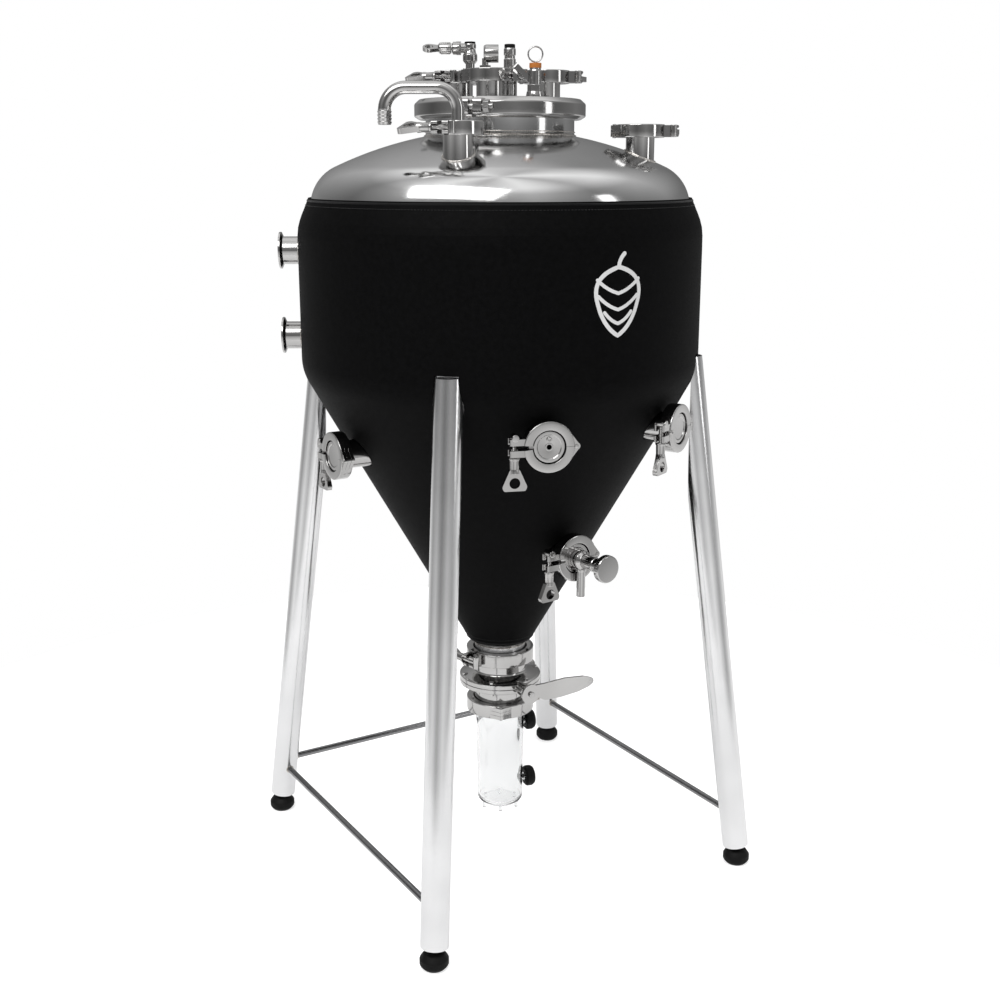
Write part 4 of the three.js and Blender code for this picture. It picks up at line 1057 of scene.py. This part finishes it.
def build_lid():
    profile = [
        (0, LID_TOP_Z - 4), (92, LID_TOP_Z - 4, 2), (95, LID_BOTTOM_Z), (NECK["flange"], LID_BOTTOM_Z),
        (NECK["flange"], LID_BOTTOM_Z + 2.4), (101, LID_TOP_Z, 2), (0, LID_TOP_Z),
    ]
    shape = Shape().turn(profile, 0.6, steps=SHELL_STEPS)
    bores, tubes = Shape(), Shape()
    for port in (GAUGE_PORT, GAS_PORT, LID_BLANK_PORT):
        height = port.translation.z - LID_TOP_Z
        drill(bores, port, -60, -height + 12)
        tubes.revolve(ferrule_profile(PORT, height + 1.5), port)
        weld_ring(tubes, PORT["tube"] + 0.7, lambda angle, height=height: 0.3 - height, 1.2, port, 96)
    for node, (flange, thick) in LID_BOSSES.items():
        boss = [(4, -0.6), (flange, -0.6), (flange, thick), (12, thick + 0.8), (11, 7.6), (4, 7.6)]
        tubes.turn(boss, 0.5, on_lid(node), closed=True)
    make("lid_plate", shape, [MIRROR], "vessel", ["lid"], cutters=[bores])
    make("lid_ferrules", tubes, [POLISHED, WELD], "vessel")
    low, high = corners("lid_gasket")
    seal = [(100, low.z), (108, low.z), (108, high.z), (100, high.z)]
    ring = Shape().turn(seal, 0.5, steps=SHELL_STEPS, closed=True)
    make("lid_seal", ring, [SILICONE], "vessel", ["lid_gasket"])


def build_lid_clamp():
    low, high = corners("lid_clamp")
    outer, bolt_at, hinge_at = 116.8, 124, 120
    band = rounded([
        (103.6, low.z), (110, low.z, 2), (outer, low.z + 4, 3), (outer, high.z - 6, 4), (110, high.z, 2),
        (105.2, high.z), (105.2, high.z - 1.9), (109.6, high.z - 4.6), (109.6, low.z + 11.1),
        (103.6, low.z + 5.1)], 0.8, steps=5)
    place = Matrix.Rotation(LID_CLAMP_TURN - math.pi / 2, 4, "Z")
    gap = math.degrees(3.2 / outer)
    shape = Shape()
    for start, stop in ((gap, 179.8), (180.2, 360 - gap)):
        shape.revolve(band, place, 90, span=(start, stop))
    point, axis = joint_place("lid_bolt_turn")
    mid = point.z
    lug = rounded([(112, mid - 10), (131, mid - 10, 5), (131, mid + 10, 5), (112, mid + 10)], 1)
    for y in (3.4, -14.8):
        shape.prism(lug, -y - 11.4, -y, place @ ON_EDGE, holes=[circle(bolt_at, mid, 4.7, 28)])
    hinge = rounded([(-113, -9), (-hinge_at, -9, 3), (-124.5, -4, 3), (-124.5, 4, 3), (-hinge_at, 9, 3),
                     (-113, 9)], 1)
    for k in range(3):
        shape.prism(hinge, mid - 10.8 + 7.2 * k, mid - 3.9 + 7.2 * k, place)
    shape.rod(3, (-hinge_at, 0, mid - 12), (-hinge_at, 0, mid + 12), place=place, edge=0.8)
    make("lid_clamp_band", shape, [POLISHED], "vessel", ["lid_clamp"], bevel=0.6)
    here = Matrix.Translation(point) @ facing(axis)
    screw = Shape().revolve(threaded(4, -17, 29), here, 24)
    hexagon = circle(0, 0, 8.2, 6)
    screw.prism(hexagon, -23.6, -16.2, here)
    screw.prism(hexagon, 16.2, 24, here)
    screw.turn([(0, -15.8), (9.4, -15.8), (9.4, -16.8), (0, -16.8)], 0.2, here)
    make("lid_clamp_screw", screw, [POLISHED], "lid_clamp_bolt", ["lid_clamp_bolt"],
         bevel=0.5)


# --- Fittings on the lid and the head ---
GAS_COCK_Z = 39.5
GAS_COCK = GAS_PORT @ Matrix.Translation((0, 0, GAS_COCK_Z)) @ Matrix.Rotation(math.radians(-90), 4, "Y")


def build_blank_cap(name, node, port):
    make(name, Shape().revolve(cap_profile(PORT), port), [POLISHED], "vessel", [node])


def build_gauge():
    build_blank_cap("gauge_port_cap", "gauge_cap", GAUGE_PORT)
    dial_z = joint_place("gauge_pointer")[0].z - GAUGE_PORT.translation.z
    front = GAUGE_PORT @ Matrix.Translation((0, 0, dial_z)) @ Matrix.Rotation(math.radians(90), 4, "Y")
    stem_x = -7
    shape = Shape()
    shape.rod(4.2, (stem_x, 0, 5.6), (stem_x, 0, dial_z - 6), place=GAUGE_PORT)
    shape.prism(circle(stem_x, 0, 7.4, 6), 6.6, 13, GAUGE_PORT)
    case = [(0, -9), (10, -9, 2), (11.6, -6), (11.6, 11, 1.2), (10.2, 11), (10.2, 9.2), (0, 9.2)]
    shape.turn(case, 0.4, front, 48)
    shape.revolve([(0, 9.22), (10.1, 9.22), (10.1, 9.3), (0, 9.3)], front, 48, number=1)
    ticks, first, spacing, long_every = 11, -135, 27, 5
    for k in range(ticks):
        tick = front @ Matrix.Rotation(math.radians(first + spacing * k), 4, "Z")
        inner = 7.2 if k % long_every == 0 else 8.2
        mark = [(-9.6, -0.22), (-inner, -0.22), (-inner, 0.22), (-9.6, 0.22)]
        shape.prism(mark, 9.28, 9.36, tick, number=2)
    make("gauge_case", shape, [POLISHED, DIAL, INK], "vessel", ["pressure_gauge"],
         bevel=0.25)


def build_needle():
    point, axis = joint_place("gauge_pointer")
    offset = middle("gauge_needle") - point
    depth = offset.dot(axis)
    along = (offset - axis * depth).normalized()
    place = Matrix((axis.cross(along), along, axis)).transposed().to_4x4()
    place.translation = point + axis * (depth - 0.25)
    shape = Shape().prism([(-0.9, -2), (0.9, -2), (0.3, 8.4), (-0.3, 8.4)], 0, 0.4, place)
    shape.turn([(0, -0.2), (1.5, -0.2), (1.5, 0.7), (0, 0.7)], 0.2, place, 24)
    make("gauge_pointer_needle", shape, [RED], "gauge_needle", ["gauge_needle"])


def build_gas_cap():
    shape = Shape().revolve(cap_profile(PORT), GAS_PORT)
    post = GAS_PORT @ Matrix.Translation((15.5, 0, 0))
    shape.rod(6.2, (0, 0, 4), (0, 0, 22), place=post)
    body = [(0, 18, 0), (6.4, 18.4, 2), (10, 22.4, 1.5), (10, 30.6, 1.5), (8.3, 33.4, 1.5), (7.4, 38),
            (8.3, 39.4), (8.3, 44, 1), (7.7, 45.4), (0, 45.4)]
    shape.turn(body, 0.5, post, 44)
    shape.turn([(0, 45), (7.5, 45), (7.5, 48, 0.8), (0, 48)], 0.3, post, 40, number=1)
    cock = [(3.4, -12), (6.4, -12), (6.4, -2), (8.5, -1), (8.5, 8), (6.4, 9), (6.4, 10), (3.4, 10)]
    shape.turn(cock, 0.6, GAS_COCK, 40, closed=True)
    shape.prism(circle(0, 0, 9, 6), -3, 3.6, GAS_COCK, holes=[circle(0, 0, 4, 20)])
    make("gas_port_cap", shape, [POLISHED, RUBBER], "vessel", ["gas_cap"], bevel=0.3)


def build_gas_handle():
    shape = Shape()
    barrel = [(0, 4), (3, 4), (3, 10.8), (7.4, 10.8, 1), (7.4, 26.4, 1), (4.4, 29), (0, 29)]
    shape.turn(barrel, 0.4, GAS_COCK, 40)
    shape.ribs(18, 0.7, 7.3, 12.4, 24.8, GAS_COCK)
    flat = GAS_PORT @ Matrix.Translation((0, 0, GAS_COCK_Z)) @ Matrix.Rotation(math.radians(28), 4, "X")
    outline = arc(-41, 0, 9.2, 60, 300, 26) + [(-27, -5.4), (-27, 5.4)]
    shape.prism(outline, -2.4, 2.4, flat, holes=[circle(-41.2, 0, 5.7, 32)])
    make("gas_cock_eye_handle", shape, [POLISHED], "gas_cock_handle", ["gas_cock_handle"],
         bevel=0.5)


def build_gas_post():
    """A threaded quick-connect post with its waist, latch groove and black poppet."""
    seat, base = on_lid("gas_post"), 43
    shape = Shape()
    shape.turn([(0, 7.9), (10, 7.9), (10, 34), (9, 36), (0, 36)], 0.6, seat, 44)
    shape.prism(circle(0, 0, 9.6, 6), base - 8, base, seat)
    post = [(0, base), (8.3, base), (8.3, base + 13), (7.3, base + 14.2), (7.3, base + 17.4),
            (8.3, base + 18.6), (8.3, base + 26), (7.6, base + 28, 1), (4, base + 28), (4, base + 26.5),
            (0, base + 26.5)]
    shape.turn(post, 0.4, seat, 48)
    poppet = [(0, base + 25), (7.4, base + 25), (7.4, base + 33, 1), (0, base + 33)]
    shape.turn(poppet, 0.4, seat, 40, number=1)
    make("gas_post_body", shape, [POLISHED, RUBBER], "vessel", ["gas_post"], bevel=0.3)


def build_relief_valve():
    seat = on_lid("relief_valve_body")
    shape = Shape()
    shape.prism(circle(0, 0, 10.4, 6), 8, 16, seat)
    housing = [(0, 8), (8, 8), (8, 33), (7.3, 35), (7.3, 36.8), (2.4, 36.8), (2.4, 30), (0, 30)]
    shape.turn(housing, 0.5, seat, 44)
    for k in range(4):
        angle = math.radians(45 + 90 * k)
        across, along = math.cos(angle), math.sin(angle)
        shape.rod(1.3, (7.2 * across, 7.2 * along, 24), (8.2 * across, 8.2 * along, 24), place=seat, steps=16,
                  edge=0.2)
    shape.turn([(2.4, 36.6), (7.9, 36.6), (7.9, 43), (2.4, 43)], 0.8, seat, 44, number=1, closed=True)
    make("relief_valve_housing", shape, [POLISHED, COPPER], "vessel",
         ["relief_valve_body"], bevel=0.3)
    ring_r, ring_z = 9.4, 53.8
    ring = Shape().rod(1.6, (0, 0, 33), (0, 0, ring_z - ring_r + 0.3), place=seat)
    loop = [(ring_r * math.sin(t), 0, ring_z - ring_r * math.cos(t)) for t in full_turn(72)]
    ring.tube(loop, 1.05, seat, steps=12)
    make("relief_pull_ring", ring, [POLISHED], "relief_valve_ring", ["relief_valve_ring"])


def build_cane():
    shape = Shape().revolve(cap_profile(PORT), CANE_PORT)
    reach, top, tail = 90.4, 48, 21
    path = bent([(0, 0, 4), (0, 0, top), (-reach, 0, top), (-reach, 0, tail)], 27, 16)
    shape.tube(path, 7.9, CANE_PORT, steps=48, inner=6.5)
    down = CANE_PORT @ Matrix.Translation((-reach, 0, 4))
    barb = [(6.2, 0), (7.8, 0)]
    for k in range(4):
        barb += [(9.0, 4.2 * k + 3.4), (8.0, 4.2 * k + 4.1)]
    barb += [(8.2, 18.6), (6.2, 18.6)]
    shape.revolve(barb, down, 44)
    weld_ring(shape, 8.1, lambda angle: 5.7, 1.0, CANE_PORT, 60)
    make("blow_off_tube", shape, [POLISHED, WELD], "vessel", ["blow_off_cane"])


# --- Fittings on the cone ---
def build_thermowell():
    tube, top = PORT["tube"], 5.5
    cap = [(3.1, FIT_GAP), (PORT["flange"], FIT_GAP), (PORT["flange"], PORT["rim"]), (tube + 1.6, 5.2),
           (tube + 0.6, 6.4), (tube - 3.2, 6.4), (tube - 4.2, top), (3.1, top)]
    shape = Shape().turn(cap, 0.5, THERMOWELL_PORT, closed=True)
    probe = [(0, -138), (3.4, -137, 1.5), (5, -133, 1.5), (5, 1), (3.2, 1), (3.2, -130), (0, -130)]
    shape.turn(probe, 0.5, THERMOWELL_PORT, 32)
    collar = [(3.2, top - 0.4), (5.2, top - 0.4), (5.2, top + 0.5), (3.2, top + 0.5)]
    shape.turn(collar, 0.2, THERMOWELL_PORT, 36, closed=True)
    screw_head = [(0, -0.5), (3.4, -0.5), (3.4, 1.6, 0.6), (1.6, 1.6), (1.6, 0.6), (0, 0.6)]
    shape.turn(screw_head, 0.3, THERMOWELL_PORT @ Matrix.Translation((0, 9.6, top)), 28)
    make("thermowell_cap", shape, [POLISHED], "vessel", ["thermowell"])


def build_sample_valve():
    shape = Shape().revolve(cap_profile(PORT), SAMPLE_PORT)
    spout_z = 15.6
    barrel = [(0, 4), (13.4, 4), (13.4, 20.4, 1.5), (9.4, 24, 2), (9.4, 43), (10.2, 44), (10.2, 46.6),
              (9.4, 47.6), (9.4, 54), (4.6, 54), (4.6, 30), (0, 30)]
    shape.turn(barrel, 0.6, SAMPLE_PORT, 52)
    shape.tube([(0, y, spout_z) for y in (-6, -30, -52)], 5.8, SAMPLE_PORT, steps=36, inner=4.4)
    collar = SAMPLE_PORT @ Matrix.Translation((0, -13.6, spout_z)) @ ON_EDGE
    shape.turn([(5.6, -2), (7.2, -2), (7.2, 2.4), (5.6, 2.4)], 0.6, collar, 36, closed=True)
    make("sample_valve_barrel", shape, [POLISHED], "vessel", ["sample_valve_body"])
    knob = [(0, 34), (4, 34), (4, 54.6), (10.2, 54.6), (10.2, 60.4, 1.5), (17.2, 62.2, 2), (18.7, 64.4),
            (18.7, 71.4, 1), (17.8, 72.6, 0.8), (0, 72.6)]
    wheel = Shape().turn(knob, 0.5, SAMPLE_PORT, 64)
    wheel.ribs(40, 0.5, 18.4, 65.4, 70.6, SAMPLE_PORT, edge=0.15)
    make("sample_valve_handwheel", wheel, [POLISHED], "sample_valve_knob",
         ["sample_valve_knob"])


# --- Dump valve, along its own +Z from the inlet to the outlet ---
DUMP_LENGTH = DUMP_FACE_Z - OUTLET_Z
DUMP_MID = DUMP_LENGTH / 2
DUMP_FLANGE = {"outer": 61, "half": 8}
DUMP_BOSS_END = 82
DUMP_STEM_R = 4.4


def dump_housing():
    """The dump valve's body: two flanged halves with bolts, stem bosses, a side boss and ferrule ends."""
    bore, neck = DUMP["bore"], DUMP["tube"] + 0.8
    face = DUMP_MID - DUMP_FLANGE["half"]
    edge = DUMP_FLANGE["outer"]
    shape = Shape()
    half = rounded([
        (bore, FIT_GAP), (DUMP["flange"], FIT_GAP), (DUMP["flange"], DUMP["rim"]), (neck, DUMP["taper"], 1.5),
        (neck, face - 5, 4), (edge - 3, face, 2), (edge, face + 1.5, 1), (edge, DUMP_MID - 0.3),
        (bore, DUMP_MID - 0.3),
    ], 0.5)
    shape.revolve(half)
    shape.revolve([(r, DUMP_LENGTH - z) for r, z in half])
    inner = DUMP_STEM_R + 0.5
    for sign, tip, r in ((1, DUMP_BOSS_END, DUMP_STEM_R + 5), (-1, edge + 4, DUMP_STEM_R + 3.4)):
        across = Matrix.Translation((0, 0, DUMP_MID)) @ Matrix.Rotation(math.radians(90 * sign), 4, "Y")
        boss = [(inner, bore + 3), (r, bore + 3), (r, tip - 1), (inner, tip - 1)]
        shape.turn(boss, 0.8, across, 44, closed=True)
        if sign > 0:
            shape.prism(circle(0, 0, r + 1.4, 6), tip - 8, tip - 4, across, holes=[circle(0, 0, r - 0.6, 24)])
    bolts, bolt_at = 6, edge - 6.4
    for k in range(bolts):
        angle = math.radians(45 + 360 * k / bolts)
        place = Matrix.Translation((bolt_at * math.cos(angle), bolt_at * math.sin(angle), 0))
        shape.prism(circle(0, 0, 3.9, 6), face - 2.6, face + 1, place)
        shape.prism(circle(0, 0, 3.9, 6), DUMP_MID + DUMP_FLANGE["half"] - 1,
                    DUMP_MID + DUMP_FLANGE["half"] + 3.2, place)
    side = Matrix.Translation((0, 0, DUMP_MID - 2)) @ ON_EDGE @ Matrix.Rotation(math.radians(-12), 4, "Y")
    return shape.turn([(0, 46), (8.9, 46), (8.9, 67, 1.5), (6, 68), (0, 68)], 0.6, side, 44)


def dump_lever():
    """The dump valve's disc, stem and leaf-shaped hand lever, which lies in the plane across the stem."""
    hub_x = DUMP_BOSS_END + 4
    shape = Shape()
    shape.rod(DUMP_STEM_R, (DUMP["bore"] - 6, 0, DUMP_MID), (DUMP_BOSS_END + 7, 0, DUMP_MID))
    plane = Matrix.Translation((hub_x, 0, DUMP_MID)) \
        @ Matrix(((0, 0, -1, 0), (0, 1, 0, 0), (1, 0, 0, 0), (0, 0, 0, 1)))
    hub = arc(0, 0, 15, -60, 215, 26)
    leaf = [(-12, -26, 12), (-13, -60, 40), (-9, -94, 20), (-3, -111, 6), (4, -112, 6), (9, -104, 14),
            (13.5, -84, 24), (15.5, -52, 30), (14, -24, 16)]
    shape.prism(rounded(hub + leaf, 0.5, steps=6), -1.8, 1.8, plane)
    inner, outer = DUMP_STEM_R - 0.5, DUMP_STEM_R + 5.4
    shape.turn([(inner, 0), (outer, 0), (outer, 4.4, 1), (inner, 4.4)], 0.4, plane, 40, closed=True)
    shape.rod(4.4, (hub_x, 0, DUMP_MID), (hub_x + 5, 0, DUMP_MID), edge=1)
    shape.prism(circle(0, 0, 2.2, 6), -5.3, -4.9, plane)
    r = DUMP["bore"] - 0.9
    disc = [(0, -3.6), (r * 0.45, -3.2), (r, -1.4), (r, 1.4), (r * 0.45, 3.2), (0, 3.6)]
    return shape.turn(disc, 0.5, Matrix.Translation((0, 0, DUMP_MID)), 56)


def build_dump_valve():
    make("dump_valve_housing", dump_housing().placed(DUMP_PORT), [POLISHED], "vessel",
         ["dump_valve_body"], bevel=0.4)
    make("dump_valve_handle", dump_lever().placed(DUMP_PORT), [POLISHED], "dump_valve_lever",
         ["dump_valve_lever"], bevel=0.6)


# --- Collection jar ---
def build_jar():
    low, high = corners("collection_jar")
    top, floor = high.z, low.z + 7
    outside = rounded([
        (DUMP["flange"], top, 0.6), (DUMP["flange"], top - 3.2), (39, top - 6.4, 1.5), (36.5, top - 12, 5),
        (34.2, floor + 5, 6), (28, floor, 4), (0, floor)], 1, closed=False, steps=8)
    inside = rounded([
        (0, floor + 3.4), (25, floor + 3.4, 6), (31.4, floor + 9, 6), (33.6, top - 12, 3), (35.8, top),
    ], 1, closed=False, steps=8)
    shape = Shape().revolve(inside + outside, steps=96)
    feet, feet_r = 6, 28
    for k in range(feet):
        angle = math.radians(60 * k + 30)
        foot = (feet_r * math.sin(angle), -feet_r * math.cos(angle))
        shape.rod(2.8, (*foot, low.z), (*foot, floor + 1), edge=1, steps=20)
    make("clear_jar", shape, [CLEAR], "vessel", ["collection_jar"])
    side_neck = [(3.4, 32.6), (6.4, 32.6), (6.4, 38.6), (3.4, 38.6)]
    profile = [(0, 34), (2.8, 34), (2.8, 39), (12, 39, 1), (15.4, 42, 1.5), (15.4, 50.6, 2), (13, 54.4, 2),
               (0, 54.4)]
    for name in ("upper", "lower"):
        point, axis = joint_place(f"jar_knob_{name}_turn")
        place = radial_frame(math.atan2(axis.x, -axis.y), 0, point.z)
        neck = Shape().turn(side_neck, 0.3, place, 36, closed=True)
        make(f"jar_side_neck_{name}", neck, [CLEAR], "vessel")
        knob = Shape().turn(profile, 0.5, place, 56)
        knob.ribs(24, 0.7, 15.0, 43, 50, place)
        node = f"jar_knob_{name}"
        make(f"jar_cap_{name}", knob, [RUBBER], node, [node])


# --- Assembly ---
build_head()
build_cone()
build_cooling_shell()
cover = build_cover()
cover_trim = [build_hems(), build_flap(), build_stitches()]
build_emblem()
for leg in LEGS:
    build_leg(leg)
    build_foot(leg)
build_stretcher("stretcher_left", "front_left", "back_left")
build_stretcher("stretcher_back", "back_left", "back_right")
build_stretcher("stretcher_right", "back_right", "front_right")
build_lid()
build_lid_clamp()
build_gauge()
build_needle()
build_gas_cap()
build_gas_handle()
build_gas_post()
build_relief_valve()
build_cane()
build_blank_cap("lid_port_cap", "lid_blank_cap", LID_BLANK_PORT)
build_blank_cap("head_port_cap", "dome_blank_cap", HEAD_BLANK_PORT)
build_blank_cap("cone_port_cap", "cone_blank_cap", CONE_BLANK_PORT)
build_thermowell()
build_sample_valve()
build_blank_cap("side_port_cap", "side_blank_cap", SIDE_BLANK_PORT)
build_dump_valve()
build_jar()

# Name, port, turn of the bolt round the port, the side the nut is on, own nut, tilt of the nut.
PORT_CLAMPS = [
    ("gauge", GAUGE_PORT, 0, -1, True, 45),
    ("gas", GAS_PORT, 245, -1, True, 18),
    ("cane", CANE_PORT, 245, -1, True, 18),
    ("thermowell", THERMOWELL_PORT, 180, 1, True, 0),
    ("cone_blank", CONE_BLANK_PORT, 180, 1, True, 0),
    ("sample", SAMPLE_PORT, 180, 1, True, 0),
    ("lid_blank", LID_BLANK_PORT, 0, 1, False, 0),
    ("dome_blank", HEAD_BLANK_PORT, 0, 1, False, 0),
    ("side_blank", SIDE_BLANK_PORT, 180, 1, True, 0),
]
for name, port, *details in PORT_CLAMPS:
    add_clamp(name, port, PORT, PORT_CLAMP, *details)
INLET = Matrix.Translation((0, 0, DUMP_FACE_Z))
OUTLET = Matrix.Translation((0, 0, OUTLET_Z))
add_clamp("dump_inlet", INLET, DUMP, DUMP_CLAMP, 192, -1, True)
add_clamp("dump_outlet", OUTLET, DUMP, DUMP_CLAMP, 60, -1, False)
for name, port, *_ in PORT_CLAMPS:
    add_gasket("head_blank" if name == "dome_blank" else name, port, PORT)
add_gasket("dump_inlet", INLET, DUMP)
add_gasket("dump_outlet", OUTLET, DUMP)
wall = frame["nodes"]["tank_wall"]
wall.data.materials.clear()
wall.data.materials.append(BRUSHED)


# --- Studio ---
CAMERA_AZIMUTH = math.radians(-31.4)
CAMERA_DISTANCE = 1.8628
CAMERA_HEIGHT = 1.0126
CAMERA_PITCH = math.radians(14.27)
FLOOR_R = 1.25
FLOOR_GLOW = 0.62
# Brightness of the studio, as (position, grey). Height runs from straight down at 0 to straight up at
# 1; azimuth runs once round from the left side.
STUDIO_BY_HEIGHT = [(0.0, 0.95), (0.30, 0.90), (0.44, 0.55), (0.50, 0.20), (0.58, 0.22), (0.72, 0.36),
                    (0.84, 0.50), (0.92, 0.95), (1.0, 1.0)]
STUDIO_BY_AZIMUTH = [(0.0, 0.95), (0.10, 0.50), (0.22, 1.0), (0.35, 0.45), (0.50, 1.0), (0.62, 0.50),
                     (0.75, 0.95), (0.88, 0.45), (1.0, 0.95)]


def build_camera():
    camera = bpy.data.cameras.new("camera")
    camera.lens = 47.14
    camera.sensor_width = 36
    obj = bpy.data.objects.new("camera", camera)
    obj.location = (CAMERA_DISTANCE * math.sin(CAMERA_AZIMUTH), -CAMERA_DISTANCE * math.cos(CAMERA_AZIMUTH),
                    CAMERA_HEIGHT)
    obj.rotation_euler = (math.pi / 2 - CAMERA_PITCH, 0, CAMERA_AZIMUTH)
    bpy.context.scene.collection.objects.link(obj)
    bpy.context.scene.camera = obj


def build_floor():
    """A pale round floor. It looks almost white from the camera and lights the object much less."""
    mesh = bpy.data.meshes.new("floor")
    rim = [(FLOOR_R * x, FLOOR_R * y, 0) for x, y in circle(0, 0, 1, 128)]
    mesh.from_pydata(rim, [], [tuple(range(len(rim)))])
    material, tree, shader = new_material("studio_floor")
    slow = add_noise(tree, 2, 2)
    pale = tinted(tree, slow.outputs["Fac"], (0.80, 0.80, 0.80), (0.82, 0.82, 0.82))
    tree.links.new(pale, shader.inputs["Base Color"])
    shader.inputs["Roughness"].default_value = 0.9
    shader.inputs["Emission Color"].default_value = (1, 1, 1, 1)
    path = tree.nodes.new("ShaderNodeLightPath")
    glow = spread(tree, path.outputs["Is Camera Ray"], 0.35, FLOOR_GLOW, 0, 1)
    tree.links.new(glow, shader.inputs["Emission Strength"])
    mesh.materials.append(material)
    obj = bpy.data.objects.new("floor", mesh)
    bpy.context.scene.collection.objects.link(obj)


def build_light(name, azimuth, distance, height, size, power, target_z):
    """A soft box that faces the object; azimuths are degrees from the front."""
    light = bpy.data.lights.new(name, "AREA")
    light.shape = "RECTANGLE"
    light.size, light.size_y = size
    light.energy = power
    obj = bpy.data.objects.new(name, light)
    angle = math.radians(azimuth)
    obj.location = (distance * math.sin(angle), -distance * math.cos(angle), height)
    aim = Vector((0, 0, target_z)) - obj.location
    obj.rotation_euler = aim.to_track_quat("-Z", "Y").to_euler()
    bpy.context.scene.collection.objects.link(obj)


def grey_ramp(tree, source, stops):
    """A colour ramp through (position, grey) stops."""
    ramp = tree.nodes.new("ShaderNodeValToRGB")
    elements = ramp.color_ramp.elements
    elements[0].position, elements[1].position = stops[0][0], stops[-1][0]
    for position, _ in stops[1:-1]:
        elements.new(position)
    for element, (_, grey) in zip(elements, stops):
        element.color = (grey, grey, grey, 1)
    tree.links.new(source, ramp.inputs["Fac"])
    return ramp.outputs["Color"]


def build_world():
    """A grey studio with a bright ceiling and darker walls, seen as plain white behind the object."""
    world = bpy.data.worlds.new("studio")
    bpy.context.scene.world = world
    world.use_nodes = True
    tree = world.node_tree
    tree.nodes.clear()
    output = tree.nodes.new("ShaderNodeOutputWorld")
    coordinates = tree.nodes.new("ShaderNodeTexCoord")
    split = tree.nodes.new("ShaderNodeSeparateXYZ")
    tree.links.new(coordinates.outputs["Generated"], split.inputs["Vector"])
    by_height = grey_ramp(tree, spread(tree, split.outputs["Z"], 0, 1, -1, 1), STUDIO_BY_HEIGHT)
    round_about = tree.nodes.new("ShaderNodeTexGradient")
    round_about.gradient_type = "RADIAL"
    tree.links.new(coordinates.outputs["Generated"], round_about.inputs["Vector"])
    by_azimuth = grey_ramp(tree, round_about.outputs["Fac"], STUDIO_BY_AZIMUTH)
    both = tree.nodes.new("ShaderNodeMix")
    both.data_type = "RGBA"
    both.blend_type = "MULTIPLY"
    both.inputs["Factor"].default_value = 1
    tree.links.new(by_height, both.inputs[6])
    tree.links.new(by_azimuth, both.inputs[7])
    studio = tree.nodes.new("ShaderNodeBackground")
    studio.inputs["Strength"].default_value = 1.5
    tree.links.new(both.outputs[2], studio.inputs["Color"])
    behind = tree.nodes.new("ShaderNodeBackground")
    behind.inputs["Color"].default_value = (1, 1, 1, 1)
    behind.inputs["Strength"].default_value = 1
    path = tree.nodes.new("ShaderNodeLightPath")
    mix = tree.nodes.new("ShaderNodeMixShader")
    tree.links.new(path.outputs["Is Camera Ray"], mix.inputs["Fac"])
    tree.links.new(studio.outputs["Background"], mix.inputs[1])
    tree.links.new(behind.outputs["Background"], mix.inputs[2])
    tree.links.new(mix.outputs["Shader"], output.inputs["Surface"])


build_camera()
build_floor()
build_world()
build_light("key", -62, 2.2, 3.0, (2.6, 1.4), 60, 0.9)
build_light("fill", 35, 3.0, 1.5, (0.5, 2.2), 9, 0.8)
bpy.context.scene.view_settings.view_transform = "Standard"
